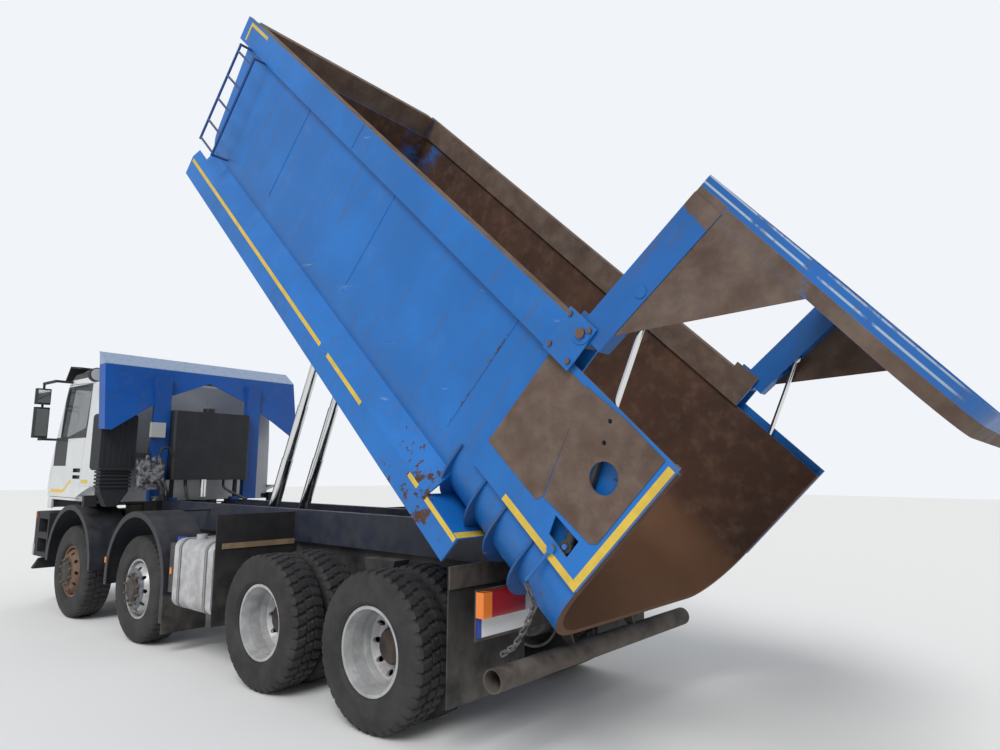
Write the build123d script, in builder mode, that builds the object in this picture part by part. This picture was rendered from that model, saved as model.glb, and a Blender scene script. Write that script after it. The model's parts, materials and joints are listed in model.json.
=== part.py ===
from build123d import *
import math
import os

# Four-axle tipper truck, bed raised and tailgate open, in millimetres.
# X points to the front, Y to the left, Z up, with the ground at Z = 0.

# Driving dimensions

AFT = -1713.6               # x of the rearmost hub, all stations count from it
AXLE_X = (AFT + 5602, AFT + 3755, AFT + 1380, AFT)
HUB_Z = 540.0
TYRE_R = 540.0
TYRE_W = 315.0
BEAD_R = 286.0
WHEEL_Y = 1092.5            # centre of the outer twin tyre
STEER_Y = 1050.0            # centre of a steered tyre
TWIN_GAP = 350.0            # centre to centre of a twin pair
KING_Y = 850.0              # steering axis

RAIL_Y = (325.0, 400.0)     # chassis rail, inside to outside
RAIL_Z = (790.0, 1090.0)
RAIL_X = (AFT - 1000, AFT + 6560)
CAB_X0 = AFT + 5200
CAB_WALL = 45.0
CAB_FLOOR = 1370.0          # underside of the cab
CAB_Y = 1145.0
TILT_X = AFT + 6960         # pivot that the cab tilts forward on
TILT_Z = 1060.0
ARCH_Z = 620.0              # centre of the mudguard arches
ARCH_R = 690.0
SKIN = 20.0                 # mudguard wall
BUMPER_TOP = 1200.0
BUMPER_LOW = 640.0
BUMPER_Y = 1235.0
FIT = 0.3                   # gap between pieces that only touch
SUB_Y = (355.0, 450.0)      # tipper subframe beams
SUB_TOP = 1390.0
SUB_X = (AFT - 540, AFT + 4940)

BED_ANGLE = 43.3            # bed tilt in the picture
BED_REF = (AFT - 2426, 0, 1815.0)
TUB_OUT = 1235.0            # half width of the load tub outside
TUB_IN = 1175.0
TUB_R = 430.0
TUB_FLOOR = -1440.0         # underside of the tub floor
TUB_PLATE = 42.0            # floor and front wall
RAIL_TOP = 115.0            # top rail of the bed, up and down from its centre
PIVOT_U = 1037.0
PIVOT_W = -1520.0
GATE_U = 935.0              # tailgate hinge
GATE_W = 98.0
LIP_U = 45.0                # rear edge of the bed
GATE_CLOSE = 84.0           # degrees from the open pose to the shut one

WORLD = Location()
SIN = math.sin(math.radians(BED_ANGLE))
COS = math.cos(math.radians(BED_ANGLE))
BED = Location(Plane(origin=BED_REF, x_dir=(COS, 0, SIN), z_dir=(-SIN, 0, COS)))
GATE = (BED * Location((GATE_U, 0, GATE_W)) * Location((0, 0, 0), (0, GATE_CLOSE, 0))
        * Location((-GATE_U, 0, -GATE_W)))


# Helpers

def side(y, frame=WORLD):
    """Sketch plane seen from the right side: x forward, y up."""
    return Plane(frame * Plane(origin=(0, y, 0), x_dir=(1, 0, 0), z_dir=(0, -1, 0)).location)


def across(x, frame=WORLD):
    """Sketch plane across the vehicle: x to the left, y up."""
    return Plane(frame * Plane(origin=(x, 0, 0), x_dir=(0, 1, 0), z_dir=(1, 0, 0)).location)


def block(x, y, z, frame=WORLD, mode=Mode.ADD):
    """Box between three pairs of limits."""
    centre = Location(((x[0] + x[1]) / 2, (y[0] + y[1]) / 2, (z[0] + z[1]) / 2))
    with Locations(frame * centre):
        Box(x[1] - x[0], y[1] - y[0], z[1] - z[0], mode=mode)


def rod(start, end, radius, frame=WORLD, mode=Mode.ADD):
    """Round bar between two points."""
    a = Vector(*start)
    b = Vector(*end)
    with Locations(frame * Plane(origin=a, z_dir=b - a).location):
        Cylinder(radius, (b - a).length, align=(Align.CENTER, Align.CENTER, Align.MIN), mode=mode)


def pipe(start, end, radius, wall, frame=WORLD):
    """Open tube between two points."""
    a = Vector(*start)
    b = Vector(*end)
    with BuildSketch(Plane(frame * Plane(origin=a, z_dir=b - a).location)) as face:
        Circle(radius)
        Circle(radius - wall, mode=Mode.SUBTRACT)
    extrude(face.sketch, amount=(b - a).length)


def plate(points, y, frame=WORLD, mode=Mode.ADD):
    """Side outline made solid between two y limits."""
    with BuildSketch(side(y[1], frame)) as face:
        with BuildLine():
            Polyline(*points, close=True)
        make_face()
    extrude(face.sketch, amount=y[1] - y[0], mode=mode)


def section(points, x, frame=WORLD, mode=Mode.ADD):
    """Cross outline made solid between two x limits."""
    with BuildSketch(across(x[0], frame)) as face:
        with BuildLine():
            Polyline(*points, close=True)
        make_face()
    extrude(face.sketch, amount=x[1] - x[0], mode=mode)


def ring(points, x, y, z=HUB_Z):
    """Outline of radius and offset turned about an axle at y, offsets count towards +Y."""
    with BuildSketch(Plane(origin=(x, y, z), x_dir=(0, 0, 1), z_dir=(-1, 0, 0))) as face:
        with BuildLine():
            Polyline(*points, close=True)
        make_face()
    revolve(face.sketch, axis=Axis((x, y, z), (0, 1, 0)))


def arc_points(x, z, radius, a, b):
    """Start, middle and end of an arc about (x, z) between two angles in degrees."""
    return [(x + radius * math.cos(math.radians(t)), z + radius * math.sin(math.radians(t)))
            for t in (a, (a + b) / 2, b)]


def band(x, z, inner, outer, a, b, y, mode=Mode.ADD):
    """Curved band seen from the side, between two radii, two angles and two y limits."""
    with BuildSketch(side(y[1])) as face:
        with BuildLine():
            out = ThreePointArc(*arc_points(x, z, outer, a, b))
            back = ThreePointArc(*arc_points(x, z, inner, b, a))
            Line(out @ 1, back @ 0)
            Line(back @ 1, out @ 0)
        make_face()
    extrude(face.sketch, amount=y[1] - y[0], mode=mode)


def plan(x0, x1, bow, half, radius, z):
    """Plan outline at a height, straight at the rear, with rounded corners and a bowed front."""
    k = radius * math.sqrt(0.5)
    c = half - radius
    with BuildSketch(Plane.XY.offset(z)) as face:
        with BuildLine():
            Polyline((x1 - radius, half), (x0, half), (x0, -half), (x1 - radius, -half))
            ThreePointArc((x1 - radius, -half), (x1 - radius + k, -c - k), (x1, -c))
            ThreePointArc((x1, -c), (x1 + bow, 0), (x1, c))
            ThreePointArc((x1, c), (x1 - radius + k, c + k), (x1 - radius, half))
        make_face()
    return face.sketch


def plan_block(x0, x1, bow, half, radius, z, mode=Mode.ADD):
    """Plan outline made solid between two heights."""
    extrude(plan(x0, x1, bow, half, radius, z[0]), amount=z[1] - z[0], mode=mode)


def span(s, a, b):
    """The y limits a to b on the left side, or mirrored for s = -1."""
    return (a, b) if s > 0 else (-b, -a)


BOTH = (1, -1)
os.makedirs("parts", exist_ok=True)


# Chassis

pivot = (BED * Location((PIVOT_U, 0, PIVOT_W))).position
HOIST_Y = 194.0
HOIST_LOW = Vector(AFT + 3227, 0, 552)
HOIST_U = 4438.0            # upper pin of the hoists, in the bed
HOIST_W = -1560.0
hoist_high = (BED * Location((HOIST_U, 0, HOIST_W))).position

with BuildPart() as chassis_rails:
    for s in BOTH:
        block(RAIL_X, span(s, RAIL_Y[1] - 10, RAIL_Y[1]), RAIL_Z)
        block(RAIL_X, span(s, *RAIL_Y), (RAIL_Z[0], RAIL_Z[0] + 10))
        block(RAIL_X, span(s, *RAIL_Y), (RAIL_Z[1] - 10, RAIL_Z[1]))
        block((CAB_X0 + 20, CAB_X0 + 100), span(s, *RAIL_Y), (RAIL_Z[1], CAB_FLOOR - FIT))
    for x in (AFT - 860, AFT - 240, AFT + 690, AFT + 1700, AFT + 2450, AFT + 4250, AFT + 6500):
        block((x - 40, x + 40), (10 - RAIL_Y[1], RAIL_Y[1] - 10), (900, 1020))
    block((RAIL_X[0], RAIL_X[0] + 20), (1 - RAIL_Y[0], RAIL_Y[0] - 1), (830, 1060))
    block((RAIL_X[0], RAIL_X[0] + 20), (-RAIL_Y[1] + 5, RAIL_Y[1] - 5), (RAIL_Z[0] + 5, RAIL_Z[1] - 5))
chassis_rails.part.label = "chassis_rails"
export_step(chassis_rails.part, "parts/chassis_rails.step")

with BuildPart() as tipper_subframe:
    for s in BOTH:
        block(SUB_X, span(s, *SUB_Y), (RAIL_Z[1], SUB_TOP))
        block((pivot.X - 62, AFT - 400), span(s, 450, 480), (1110, pivot.Z))
        rod((pivot.X, s * 450, pivot.Z), (pivot.X, s * 480, pivot.Z), 62)
        rod((pivot.X, s * 370, pivot.Z), (pivot.X, s * 480, pivot.Z), 30)
        block((HOIST_LOW.X - 50, HOIST_LOW.X + 50), span(s, 275, 295), (500, 1160))
        block((HOIST_LOW.X - 50, HOIST_LOW.X + 50), span(s, 95, 113), (500, 1160))
        rod((HOIST_LOW.X, s * 100, 552), (HOIST_LOW.X, s * 290, 552), 25)
    block((HOIST_LOW.X - 50, HOIST_LOW.X + 50), (-295, 295), (1100, 1160))
    block((HOIST_LOW.X - 50, HOIST_LOW.X + 50), (-SUB_Y[0] - 1, SUB_Y[0] + 1), (1160, 1200))
    for x in (AFT - 480, AFT + 690, AFT + 1900, AFT + 3900, AFT + 4880):
        block((x - 50, x + 50), (-SUB_Y[0] - 1, SUB_Y[0] + 1), (1160, 1330))
tipper_subframe.part.label = "tipper_subframe"
export_step(tipper_subframe.part, "parts/tipper_subframe.step")

with BuildPart() as engine_block:
    block((AFT + 5050, AFT + 6350), (-310, 310), (760, 1350))
engine_block.part.label = "engine_block"
export_step(engine_block.part, "parts/engine_block.step")

with BuildPart() as front_axles:
    for x in AXLE_X[:2]:
        section(((-760, 500), (-640, 400), (640, 400), (760, 500), (760, 590), (600, 490), (-600, 490),
                 (-760, 590)), (x - 50, x + 50))
        for s in BOTH:
            block((x - 50, x + 50), span(s, 750, KING_Y), (500, 580))
            rod((x, s * KING_Y, 500), (x, s * KING_Y, 580), 50)
front_axles.part.label = "front_axles"
export_step(front_axles.part, "parts/front_axles.step")

with BuildPart() as drive_line:
    for x in AXLE_X[2:]:
        rod((x, -560, HUB_Z), (x, 560, HUB_Z), 75)
        with Locations((x, 0, HUB_Z)):
            Sphere(235)
        rod((x, -900, HUB_Z), (x, 900, HUB_Z), 45)
        rod((x + 180, 0, HUB_Z + 60), (x + 260, 0, HUB_Z + 60), 70)
        if x == AXLE_X[2]:
            rod((x - 260, 0, HUB_Z + 60), (x - 180, 0, HUB_Z + 60), 70)
    rod((AXLE_X[3] + 260, 0, HUB_Z + 60), (AXLE_X[2] - 260, 0, HUB_Z + 60), 50)
    rod((AXLE_X[2] + 260, 0, HUB_Z + 60), (AXLE_X[2] + 310, 0, HUB_Z + 60), 50)
    rod((AXLE_X[2] + 290, 0, HUB_Z + 60), (AFT + 4700, 0, 860), 50)
    block((AFT + 4700, AFT + 5050), (-220, 220), (740, 1060))
drive_line.part.label = "drive_line"
export_step(drive_line.part, "parts/drive_line.step")

LEAF_H = 15.0
LEAF_STEPS = (0, 120, 260, 420)     # how much shorter each lower leaf is at its ends
with BuildPart() as leaf_springs:
    for s in BOTH:
        for x in AXLE_X[:2]:
            for i, short in enumerate(LEAF_STEPS):
                top = 680 - i * LEAF_H
                block((x - 800 + short, x + 800 - short), span(s, 350, 440), (top - LEAF_H, top))
            block((x - 60, x + 60), span(s, 350, 440), (490, 620))
            for e in (-770, 770):
                block((x + e - 30, x + e + 30), span(s, 350, 440), (670, RAIL_Z[0] - 40))
                rod((x + e, s * 350, 730), (x + e, s * 440, 730), 45)
                block((x + e - 45, x + e + 45), span(s, 350, 440), (730, RAIL_Z[0]))
        mid = (AXLE_X[2] + AXLE_X[3]) / 2
        reach = (AXLE_X[2] - AXLE_X[3]) / 2 + 80
        for i, short in enumerate(LEAF_STEPS):
            low = 640 + i * 1.6 * LEAF_H
            block((mid - reach + short, mid + reach - short), span(s, 470, 560), (low, low + 1.6 * LEAF_H))
        plate(((mid - 120, 720), (mid + 120, 720), (mid + 190, 1040), (mid - 190, 1040)), span(s, RAIL_Y[1], 560))
        for x in AXLE_X[2:]:
            block((x - 60, x + 60), span(s, 470, 560), (HUB_Z + 75, 645))
leaf_springs.part.label = "leaf_springs"
export_step(leaf_springs.part, "parts/leaf_springs.step")


# Equipment on the chassis

TANK_X = (AFT + 2170, AFT + 2900)
TANK_Y = (620, 1225)
TANK_Z = (470, 1110)
TANK_ROUND = 90.0
STRAP_W = 45.0
STRAP_T = 5.0
with BuildPart() as fuel_tank:
    block(TANK_X, TANK_Y, TANK_Z)
    fillet(fuel_tank.edges().filter_by(Axis.X), TANK_ROUND)
    for x in (TANK_X[0] + 120, TANK_X[1] - 120):
        with BuildSketch(across(x - STRAP_W / 2)) as loop:
            with Locations(((TANK_Y[0] + TANK_Y[1]) / 2, (TANK_Z[0] + TANK_Z[1]) / 2)):
                RectangleRounded(TANK_Y[1] - TANK_Y[0] + 2 * STRAP_T, TANK_Z[1] - TANK_Z[0] + 2 * STRAP_T,
                                 TANK_ROUND + STRAP_T)
        extrude(loop.sketch, amount=STRAP_W)
        block((x - 30, x + 30), (RAIL_Y[1], TANK_Y[0] + 60), (820, 900))
        block((x - 30, x + 30), (RAIL_Y[1], RAIL_Y[1] + 12), (820, 1060))
    rod((TANK_X[1] - 230, 1080, TANK_Z[1]), (TANK_X[1] - 230, 1080, TANK_Z[1] + 45), 48)
fuel_tank.part.label = "fuel_tank"
export_step(fuel_tank.part, "parts/fuel_tank.step")

UREA_X = (AFT + 2912, AFT + 3012)
with BuildPart() as side_boxes:
    block((AFT + 2300, AFT + 2900), (-1200, -680), (560, 1050))
    block((AFT + 2290, AFT + 2910), (-1206, -674), (1050, 1080))
    block((AFT + 2500, AFT + 2600), (-680, -RAIL_Y[1]), (800, 900))
    for z in (640, 900):
        rod((AFT + 2180, -560, z), (AFT + 2880, -560, z), 105)
    block((AFT + 2300, AFT + 2340), (-560, -RAIL_Y[1]), (800, 860))
    block((AFT + 2300, AFT + 2340), (-590, -530), (700, 860))
    block(UREA_X, (850, 1215), (600, 1060))
    block((UREA_X[0] + 20, UREA_X[1] - 20), (RAIL_Y[1], 850), (820, 880))
    rod(((UREA_X[0] + UREA_X[1]) / 2, 1130, 1060), ((UREA_X[0] + UREA_X[1]) / 2, 1130, 1115), 42)
side_boxes.part.label = "side_boxes"
export_step(side_boxes.part, "parts/side_boxes.step")

BUMPER_X = (AFT + 6330, AFT + 6740, AFT + 6990)     # rear of the steps, rear of the front wall, corner
BUMPER_BOW = 50.0
BUMPER_R = 200.0
BUMPER_WALL = 35.0
STEP_Y = 950.0
with BuildPart() as front_bumper:
    plan_block(BUMPER_X[1], BUMPER_X[2], BUMPER_BOW, BUMPER_Y, BUMPER_R, (BUMPER_LOW, BUMPER_TOP))
    plan_block(BUMPER_X[1] - 1, BUMPER_X[2] - BUMPER_WALL, BUMPER_BOW, BUMPER_Y - BUMPER_WALL,
               BUMPER_R - BUMPER_WALL, (BUMPER_LOW - 1, BUMPER_TOP - 20), mode=Mode.SUBTRACT)
    for s in BOTH:
        block((BUMPER_X[0], BUMPER_X[1] + 30), span(s, STEP_Y, BUMPER_Y), (BUMPER_LOW, BUMPER_TOP))
        for z in (700, 950):
            block((BUMPER_X[0] + 40, BUMPER_X[1] - 60), span(s, STEP_Y + 120, BUMPER_Y + 1), (z, z + 170),
                  mode=Mode.SUBTRACT)
        block((TILT_X - 260, TILT_X + 35), span(s, 255, 375), (BUMPER_TOP - 21, BUMPER_TOP + 1), mode=Mode.SUBTRACT)
    block((RAIL_X[1], BUMPER_X[1]), (-RAIL_Y[1], RAIL_Y[1]), (820, 1000))
    block((BUMPER_X[1], BUMPER_X[2] - 20), (-200, 200), (900, 960))
    for s in BOTH:
        block((BUMPER_X[1] - 30, BUMPER_X[1] + 20), span(s, RAIL_Y[1] - 20, STEP_Y + 20), (860, 920))
        block((BUMPER_X[1] - 1, TILT_X), span(s, 290, 340), (960, TILT_Z))
        block((BUMPER_X[1] - 1, BUMPER_X[1] + 60), span(s, 290, 340), (900, 1000))
        rod((TILT_X, s * 290, TILT_Z), (TILT_X, s * 340, TILT_Z), 35)
        rod((TILT_X, s * 280, TILT_Z), (TILT_X, s * 350, TILT_Z), 20.05, mode=Mode.SUBTRACT)
        block((BUMPER_X[2] - 160, BUMPER_X[2] - 15), span(s, 600, 640), (560, 660))
        block((BUMPER_X[2] - 160, BUMPER_X[2] + 10), span(s, 600, 640), (BUMPER_LOW + 1, 700))
    loft([plan(BUMPER_X[1], BUMPER_X[2] - 45, BUMPER_BOW, BUMPER_Y - 45, BUMPER_R, 590),
          plan(BUMPER_X[1], BUMPER_X[2] + 10, BUMPER_BOW, BUMPER_Y + 5, BUMPER_R, 470)], ruled=True)
front_bumper.part.label = "front_bumper"
export_step(front_bumper.part, "parts/front_bumper.step")

with BuildPart() as lamps:
    plan_block(BUMPER_X[1] + 40, BUMPER_X[2] + 16, BUMPER_BOW, BUMPER_Y + 16, BUMPER_R + 16, (650, 790))
    plan_block(BUMPER_X[1] + 39, BUMPER_X[2], BUMPER_BOW, BUMPER_Y, BUMPER_R, (649, 791), mode=Mode.SUBTRACT)
    block((BUMPER_X[1], BUMPER_X[2] + 200), (-780, 780), (649, 791), mode=Mode.SUBTRACT)
    for s in BOTH:
        block((AFT - 1060, AFT - 1000), span(s, 760, 1240), (900, 1050))
lamps.part.label = "lamps"
export_step(lamps.part, "parts/lamps.step")

GUARD_LEG = {1: (-110, 640, 620), 2: (-110, 620, 300)}      # axle: lip, foot of the front and of the rear leg
with BuildPart() as mudguards:
    for s in BOTH:
        for axle, x in ((1, AXLE_X[0]), (2, AXLE_X[1])):
            front_low, rear_low = GUARD_LEG[axle][1:]
            band(x, ARCH_Z, ARCH_R, ARCH_R + SKIN, 0, 180, span(s, 800, 1245))
            band(x, ARCH_Z, ARCH_R - 40, ARCH_R + 1, 0, 180, span(s, 1230, 1245))
            block((x - ARCH_R - SKIN, x - ARCH_R), span(s, 800, 1245), (rear_low, ARCH_Z + 1))
            block((x - ARCH_R - SKIN, x - ARCH_R + 40), span(s, 1230, 1245), (rear_low, ARCH_Z + 1))
            if axle == 2:
                block((x + ARCH_R, x + ARCH_R + SKIN), span(s, 800, 1245), (front_low - 100, ARCH_Z + 1))
                block((x + ARCH_R - 40, x + ARCH_R + SKIN), span(s, 1230, 1245), (front_low - 100, ARCH_Z + 1))
            top = ARCH_Z + ARCH_R
            if axle == 1:
                block((x - 25, x + 25), span(s, RAIL_Y[1], RAIL_Y[1] + 15), (1000, top + 15))
            block((x - 25, x + 25), span(s, RAIL_Y[1] if axle == 1 else SUB_Y[1], 801), (top + 1, top + 15))
mudguards.part.label = "mudguards"
export_step(mudguards.part, "parts/mudguards.step")

with BuildPart() as mudflaps:
    for s in BOTH:
        block((AFT + 2090, AFT + 2100), span(s, 450, 1250), (400, 1370))
        block((AFT - 780, AFT - 770), span(s, 480, 1250), (330, 1180))
        block((AXLE_X[1] - ARCH_R - SKIN - 10, AXLE_X[1] - ARCH_R - SKIN), span(s, 800, 1245), (200, 560))
mudflaps.part.label = "mudflaps"
export_step(mudflaps.part, "parts/mudflaps.step")

with BuildPart() as rear_bumper:
    pipe((AFT - 1138, -1244, 565), (AFT - 1138, 1244, 565), 70, 8)
    for s in BOTH:
        plate(((AFT - 900, 800), (AFT - 900, 1080), (AFT - 1000, 1080), (AFT - 1150, 630), (AFT - 1100, 620)),
              span(s, 400, 420))
        block((AFT - 790, AFT - 780), span(s, RAIL_Y[1], 1250), (1040, 1180))
        block((AFT - 1000, AFT - 990), span(s, RAIL_Y[1], 1240), (760, 1060))
rear_bumper.part.label = "rear_bumper"
export_step(rear_bumper.part, "parts/rear_bumper.step")

GUARD_X = AFT + 4710
GUARD_LEAN = 140.0
GUARD_Z = (2220, 3000)
GUARD_Y = 1275.0
SHEET = 8.0
guard_arch = ((GUARD_Y - 75, 0), (910, 200), (510, 450))    # half width and height of the cut below
with BuildPart() as cab_guard:
    plate(((GUARD_X, GUARD_Z[0]), (GUARD_X + GUARD_LEAN, GUARD_Z[1]), (GUARD_X + GUARD_LEAN + SHEET, GUARD_Z[1]),
           (GUARD_X + SHEET, GUARD_Z[0])), (-GUARD_Y, GUARD_Y))
    left = [(y, GUARD_Z[0] + h) for y, h in guard_arch]
    right = [(-y, z) for y, z in reversed(left)]
    section([(GUARD_Y - 75, GUARD_Z[0] - 9)] + left + [(0, GUARD_Z[0] + 660)] + right
            + [(75 - GUARD_Y, GUARD_Z[0] - 9)], (GUARD_X - 9, GUARD_X + 200), mode=Mode.SUBTRACT)
    lip = (GUARD_X + GUARD_LEAN, GUARD_Z[1])
    plate((lip, (lip[0] + 220, lip[1] + 157), (lip[0] + 216, lip[1] + 165), (lip[0] - 1, lip[1] + 8)),
          (-GUARD_Y, GUARD_Y))
    for s in BOTH:
        plate(((GUARD_X, GUARD_Z[0]), (GUARD_X + 176, GUARD_Z[0] + 13), (GUARD_X + 340, GUARD_Z[1] + 140), lip),
              span(s, GUARD_Y - SHEET, GUARD_Y))
        block((GUARD_X + 40, GUARD_X + 130), span(s, 515, 700), (SUB_TOP, 2900))
        block((GUARD_X + 40, GUARD_X + 130), span(s, 360, 700), (SUB_TOP, SUB_TOP + 30))
cab_guard.part.label = "cab_guard"
export_step(cab_guard.part, "parts/cab_guard.step")

OIL_Z = (1640, 2490)
with BuildPart() as hydraulics:
    block((AFT + 4640, AFT + 4980), (-508, 508), OIL_Z)
    fillet(hydraulics.edges().filter_by(Axis.Z), 40)
    rod((AFT + 4800, 0, OIL_Z[1]), (AFT + 4800, 0, OIL_Z[1] + 60), 70)
    for s in BOTH:
        block((AFT + 4780, AFT + 4820), span(s, 400, 440), (SUB_TOP + 30, OIL_Z[0]))
    block((AFT + 4600, AFT + 4720), (610, 890), (1530, 1870))
    for y in (660, 730, 800):
        rod((AFT + 4560, y, 1620), (AFT + 4601, y, 1620), 22)
        rod((AFT + 4640, y, 1869), (AFT + 4640, y, 1930), 20)
    rod((AFT + 4650, 600, 1440), (AFT + 4650, 600, 1580), 24)
    block((AFT + 4600, AFT + 4700), (560, 700), (SUB_TOP + 10, 1450))
    block((AFT + 4690, GUARD_X + 40), (590, 755), (2150, 2330))
    block((AFT + 4680, GUARD_X + 40), (610, 700), (1560, 1840))
hydraulics.part.label = "hydraulics"
export_step(hydraulics.part, "parts/hydraulics.step")

INTAKE_X = (AFT + 4860, AFT + 5130)
with BuildPart() as air_intake:
    block(INTAKE_X, (850, 1250), (1750, 2420))
    fillet(air_intake.edges().filter_by(Axis.X), 45)
    for i in range(6):
        block((INTAKE_X[0] - 8, INTAKE_X[0] + 5), (895 + 62 * i, 915 + 62 * i), (1800, 2370))
    for i in range(5):
        block((INTAKE_X[0] + 20, INTAKE_X[0] + 190), (870, 1220), (1550 + 42 * i, 1576 + 42 * i))
    block((INTAKE_X[0] + 35, INTAKE_X[0] + 175), (890, 1200), (1500, 1751))
    section(((890, 1501), (1200, 1501), (1120, 1330), (1000, 1330)), (INTAKE_X[0] + 35, INTAKE_X[0] + 175))
    block((GUARD_X + 70, INTAKE_X[0] + 30), (700, 860), (1900, 1960))
air_intake.part.label = "air_intake"
export_step(air_intake.part, "parts/air_intake.step")


# Cab

# Height, then from the rear wall: rear, front at the corners; and half width
CAB_LEVELS = (
    (CAB_FLOOR, 0, 1660, CAB_Y),
    (1500, 0, 1720, CAB_Y),
    (1740, 0, 1685, CAB_Y),
    (2190, 0, 1555, CAB_Y - 5),
    (2870, 0, 1360, CAB_Y - 35),
    (3000, 45, 1240, CAB_Y - 65),
    (3075, 130, 1050, CAB_Y - 185),
)
CAB_BOW = 40.0
CAB_CORNER = 140.0
ROOF = CAB_LEVELS[-1][0]


def cab_form(inset, mode=Mode.ADD):
    """The rounded cab, made smaller all round by an inset."""
    levels = []
    for z, rear, front, half in CAB_LEVELS:
        height = min(max(z, CAB_FLOOR + inset), ROOF - inset)
        if z == CAB_FLOOR or z == ROOF:
            height = CAB_FLOOR + inset if z == CAB_FLOOR else ROOF - inset
        levels.append(plan(CAB_X0 + rear + inset, CAB_X0 + front - inset, CAB_BOW, half - inset,
                           CAB_CORNER - inset, height))
    loft(levels, ruled=True, mode=mode)


def on_cab(*points):
    """Side outline given from the cab's rear wall."""
    return [(CAB_X0 + x, z) for x, z in points]


DOOR = on_cab((353, 2842), (476, 1831), (472, CAB_FLOOR + 30), (1500, CAB_FLOOR + 30), (1500, 1700), (1400, 1980),
              (1320, 2180), (1230, 2870))
PANE = on_cab((442, 2742), (1200, 2810), (1290, 2180), (1012, 2176), (469, 2275))
SCREEN = on_cab((1270, 2830), (1570, 2830), (1820, 1960), (1500, 1960))
SCREEN_Y = 1000.0
HINGE_X = CAB_X0 + 1512
HINGE_Y = CAB_Y - 5
HINGE_Z = (1450, 1650)
HINGE_H = 60.0
DOOR_GAP = 6.0
TILT_Y = (270, 360)         # outer faces of a tilt fork
tilt_arm = [(TILT_X + x, TILT_Z + z) for x, z in
            ((18, 21), (-87, 110), (-87, CAB_FLOOR - TILT_Z + 5), (-143, CAB_FLOOR - TILT_Z + 5), (-143, 84),
             (-18, -21))]
FENDER = on_cab((568, 1435), (437, 1557), (-134, 1560), (106, 1489), (270, 1435))
with BuildPart() as cab_shell:
    cab_form(0)
    cab_form(CAB_WALL, mode=Mode.SUBTRACT)
    plan_block(CAB_X0 + 1400, CAB_LEVELS[0][2] + CAB_X0, CAB_BOW, CAB_Y, CAB_CORNER, (1250, CAB_FLOOR + 5))
    plan_block(CAB_X0 + 1390, CAB_LEVELS[0][2] + CAB_X0 - 25, CAB_BOW, CAB_Y - 25, CAB_CORNER - 25,
               (1249, CAB_FLOOR - 1), mode=Mode.SUBTRACT)
    plate(SCREEN, (-SCREEN_Y, SCREEN_Y), mode=Mode.SUBTRACT)
    for s in BOTH:
        plate(DOOR, span(s, CAB_Y - 100, CAB_Y + 10), mode=Mode.SUBTRACT)
        for z in HINGE_Z:
            rod((HINGE_X, s * HINGE_Y, z - 7), (HINGE_X, s * HINGE_Y, z + HINGE_H + 7), 20, mode=Mode.SUBTRACT)
            rod((HINGE_X, s * HINGE_Y, z - 15), (HINGE_X, s * HINGE_Y, z + HINGE_H + 15), 5)
        for y in (TILT_Y[0], TILT_Y[1] - 15):
            plate(tilt_arm, span(s, y, y + 15))
            rod((TILT_X, s * y, TILT_Z), (TILT_X, s * (y + 15), TILT_Z), 28)
        rod((TILT_X, s * (TILT_Y[0] - 5), TILT_Z), (TILT_X, s * (TILT_Y[1] + 5), TILT_Z), 20)
        plate(FENDER, span(s, CAB_Y, CAB_Y + 100))
cab_shell.part.label = "cab_shell"
export_step(cab_shell.part, "parts/cab_shell.step")

GLASS = (8, 14)             # glass faces, in from the outer skin
with BuildPart() as cab_glass:
    cab_form(GLASS[0])
    cab_form(GLASS[1], mode=Mode.SUBTRACT)
    with BuildSketch(side(SCREEN_Y)) as opening:
        with BuildLine():
            Polyline(*SCREEN, close=True)
        make_face()
    extrude(opening.sketch, amount=2 * SCREEN_Y, mode=Mode.INTERSECT)
cab_glass.part.label = "cab_glass"
export_step(cab_glass.part, "parts/cab_glass.step")

SLAT_Z = 1430.0
SLATS = 5
with BuildPart() as cab_trim:
    for i in range(SLATS):
        block((CAB_X0 + 1500, CAB_X0 + 1900), (-850, 850), (SLAT_Z + 85 * i, SLAT_Z + 85 * i + 50))
    cab_form(-12, mode=Mode.INTERSECT)
    block((CAB_X0 + 1500, CAB_X0 + 1900), (-60, 60), (SLAT_Z + 10, SLAT_Z + 85 * SLATS - 40))
    cab_form(-16, mode=Mode.INTERSECT)
    for s in BOTH:
        block((CAB_X0 + 70, CAB_X0 + 110), span(s, 1080, 1130), (2895, 2915))
    cab_form(0, mode=Mode.SUBTRACT)
    for s in BOTH:
        rod((CAB_X0 + 50, s * 1205, 2905), (CAB_X0 + 130, s * 1205, 2905), 85)
        block((CAB_X0 - 70, CAB_X0 - 10), span(s, 1135, 1275), (1325, 1455))
        block((CAB_X0 - 11, CAB_X0), span(s, 1060, 1144), (1385, 1440))
    plate(on_cab((980, ROOF), (980, ROOF + 20), (1360, ROOF + 65), (1520, 2950), (1500, 2930), (1345, ROOF + 42),
                 (1045, ROOF + 6), (1040, ROOF)), (-1080, 1080))
cab_trim.part.label = "cab_trim"
export_step(cab_trim.part, "parts/cab_trim.step")

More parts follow.
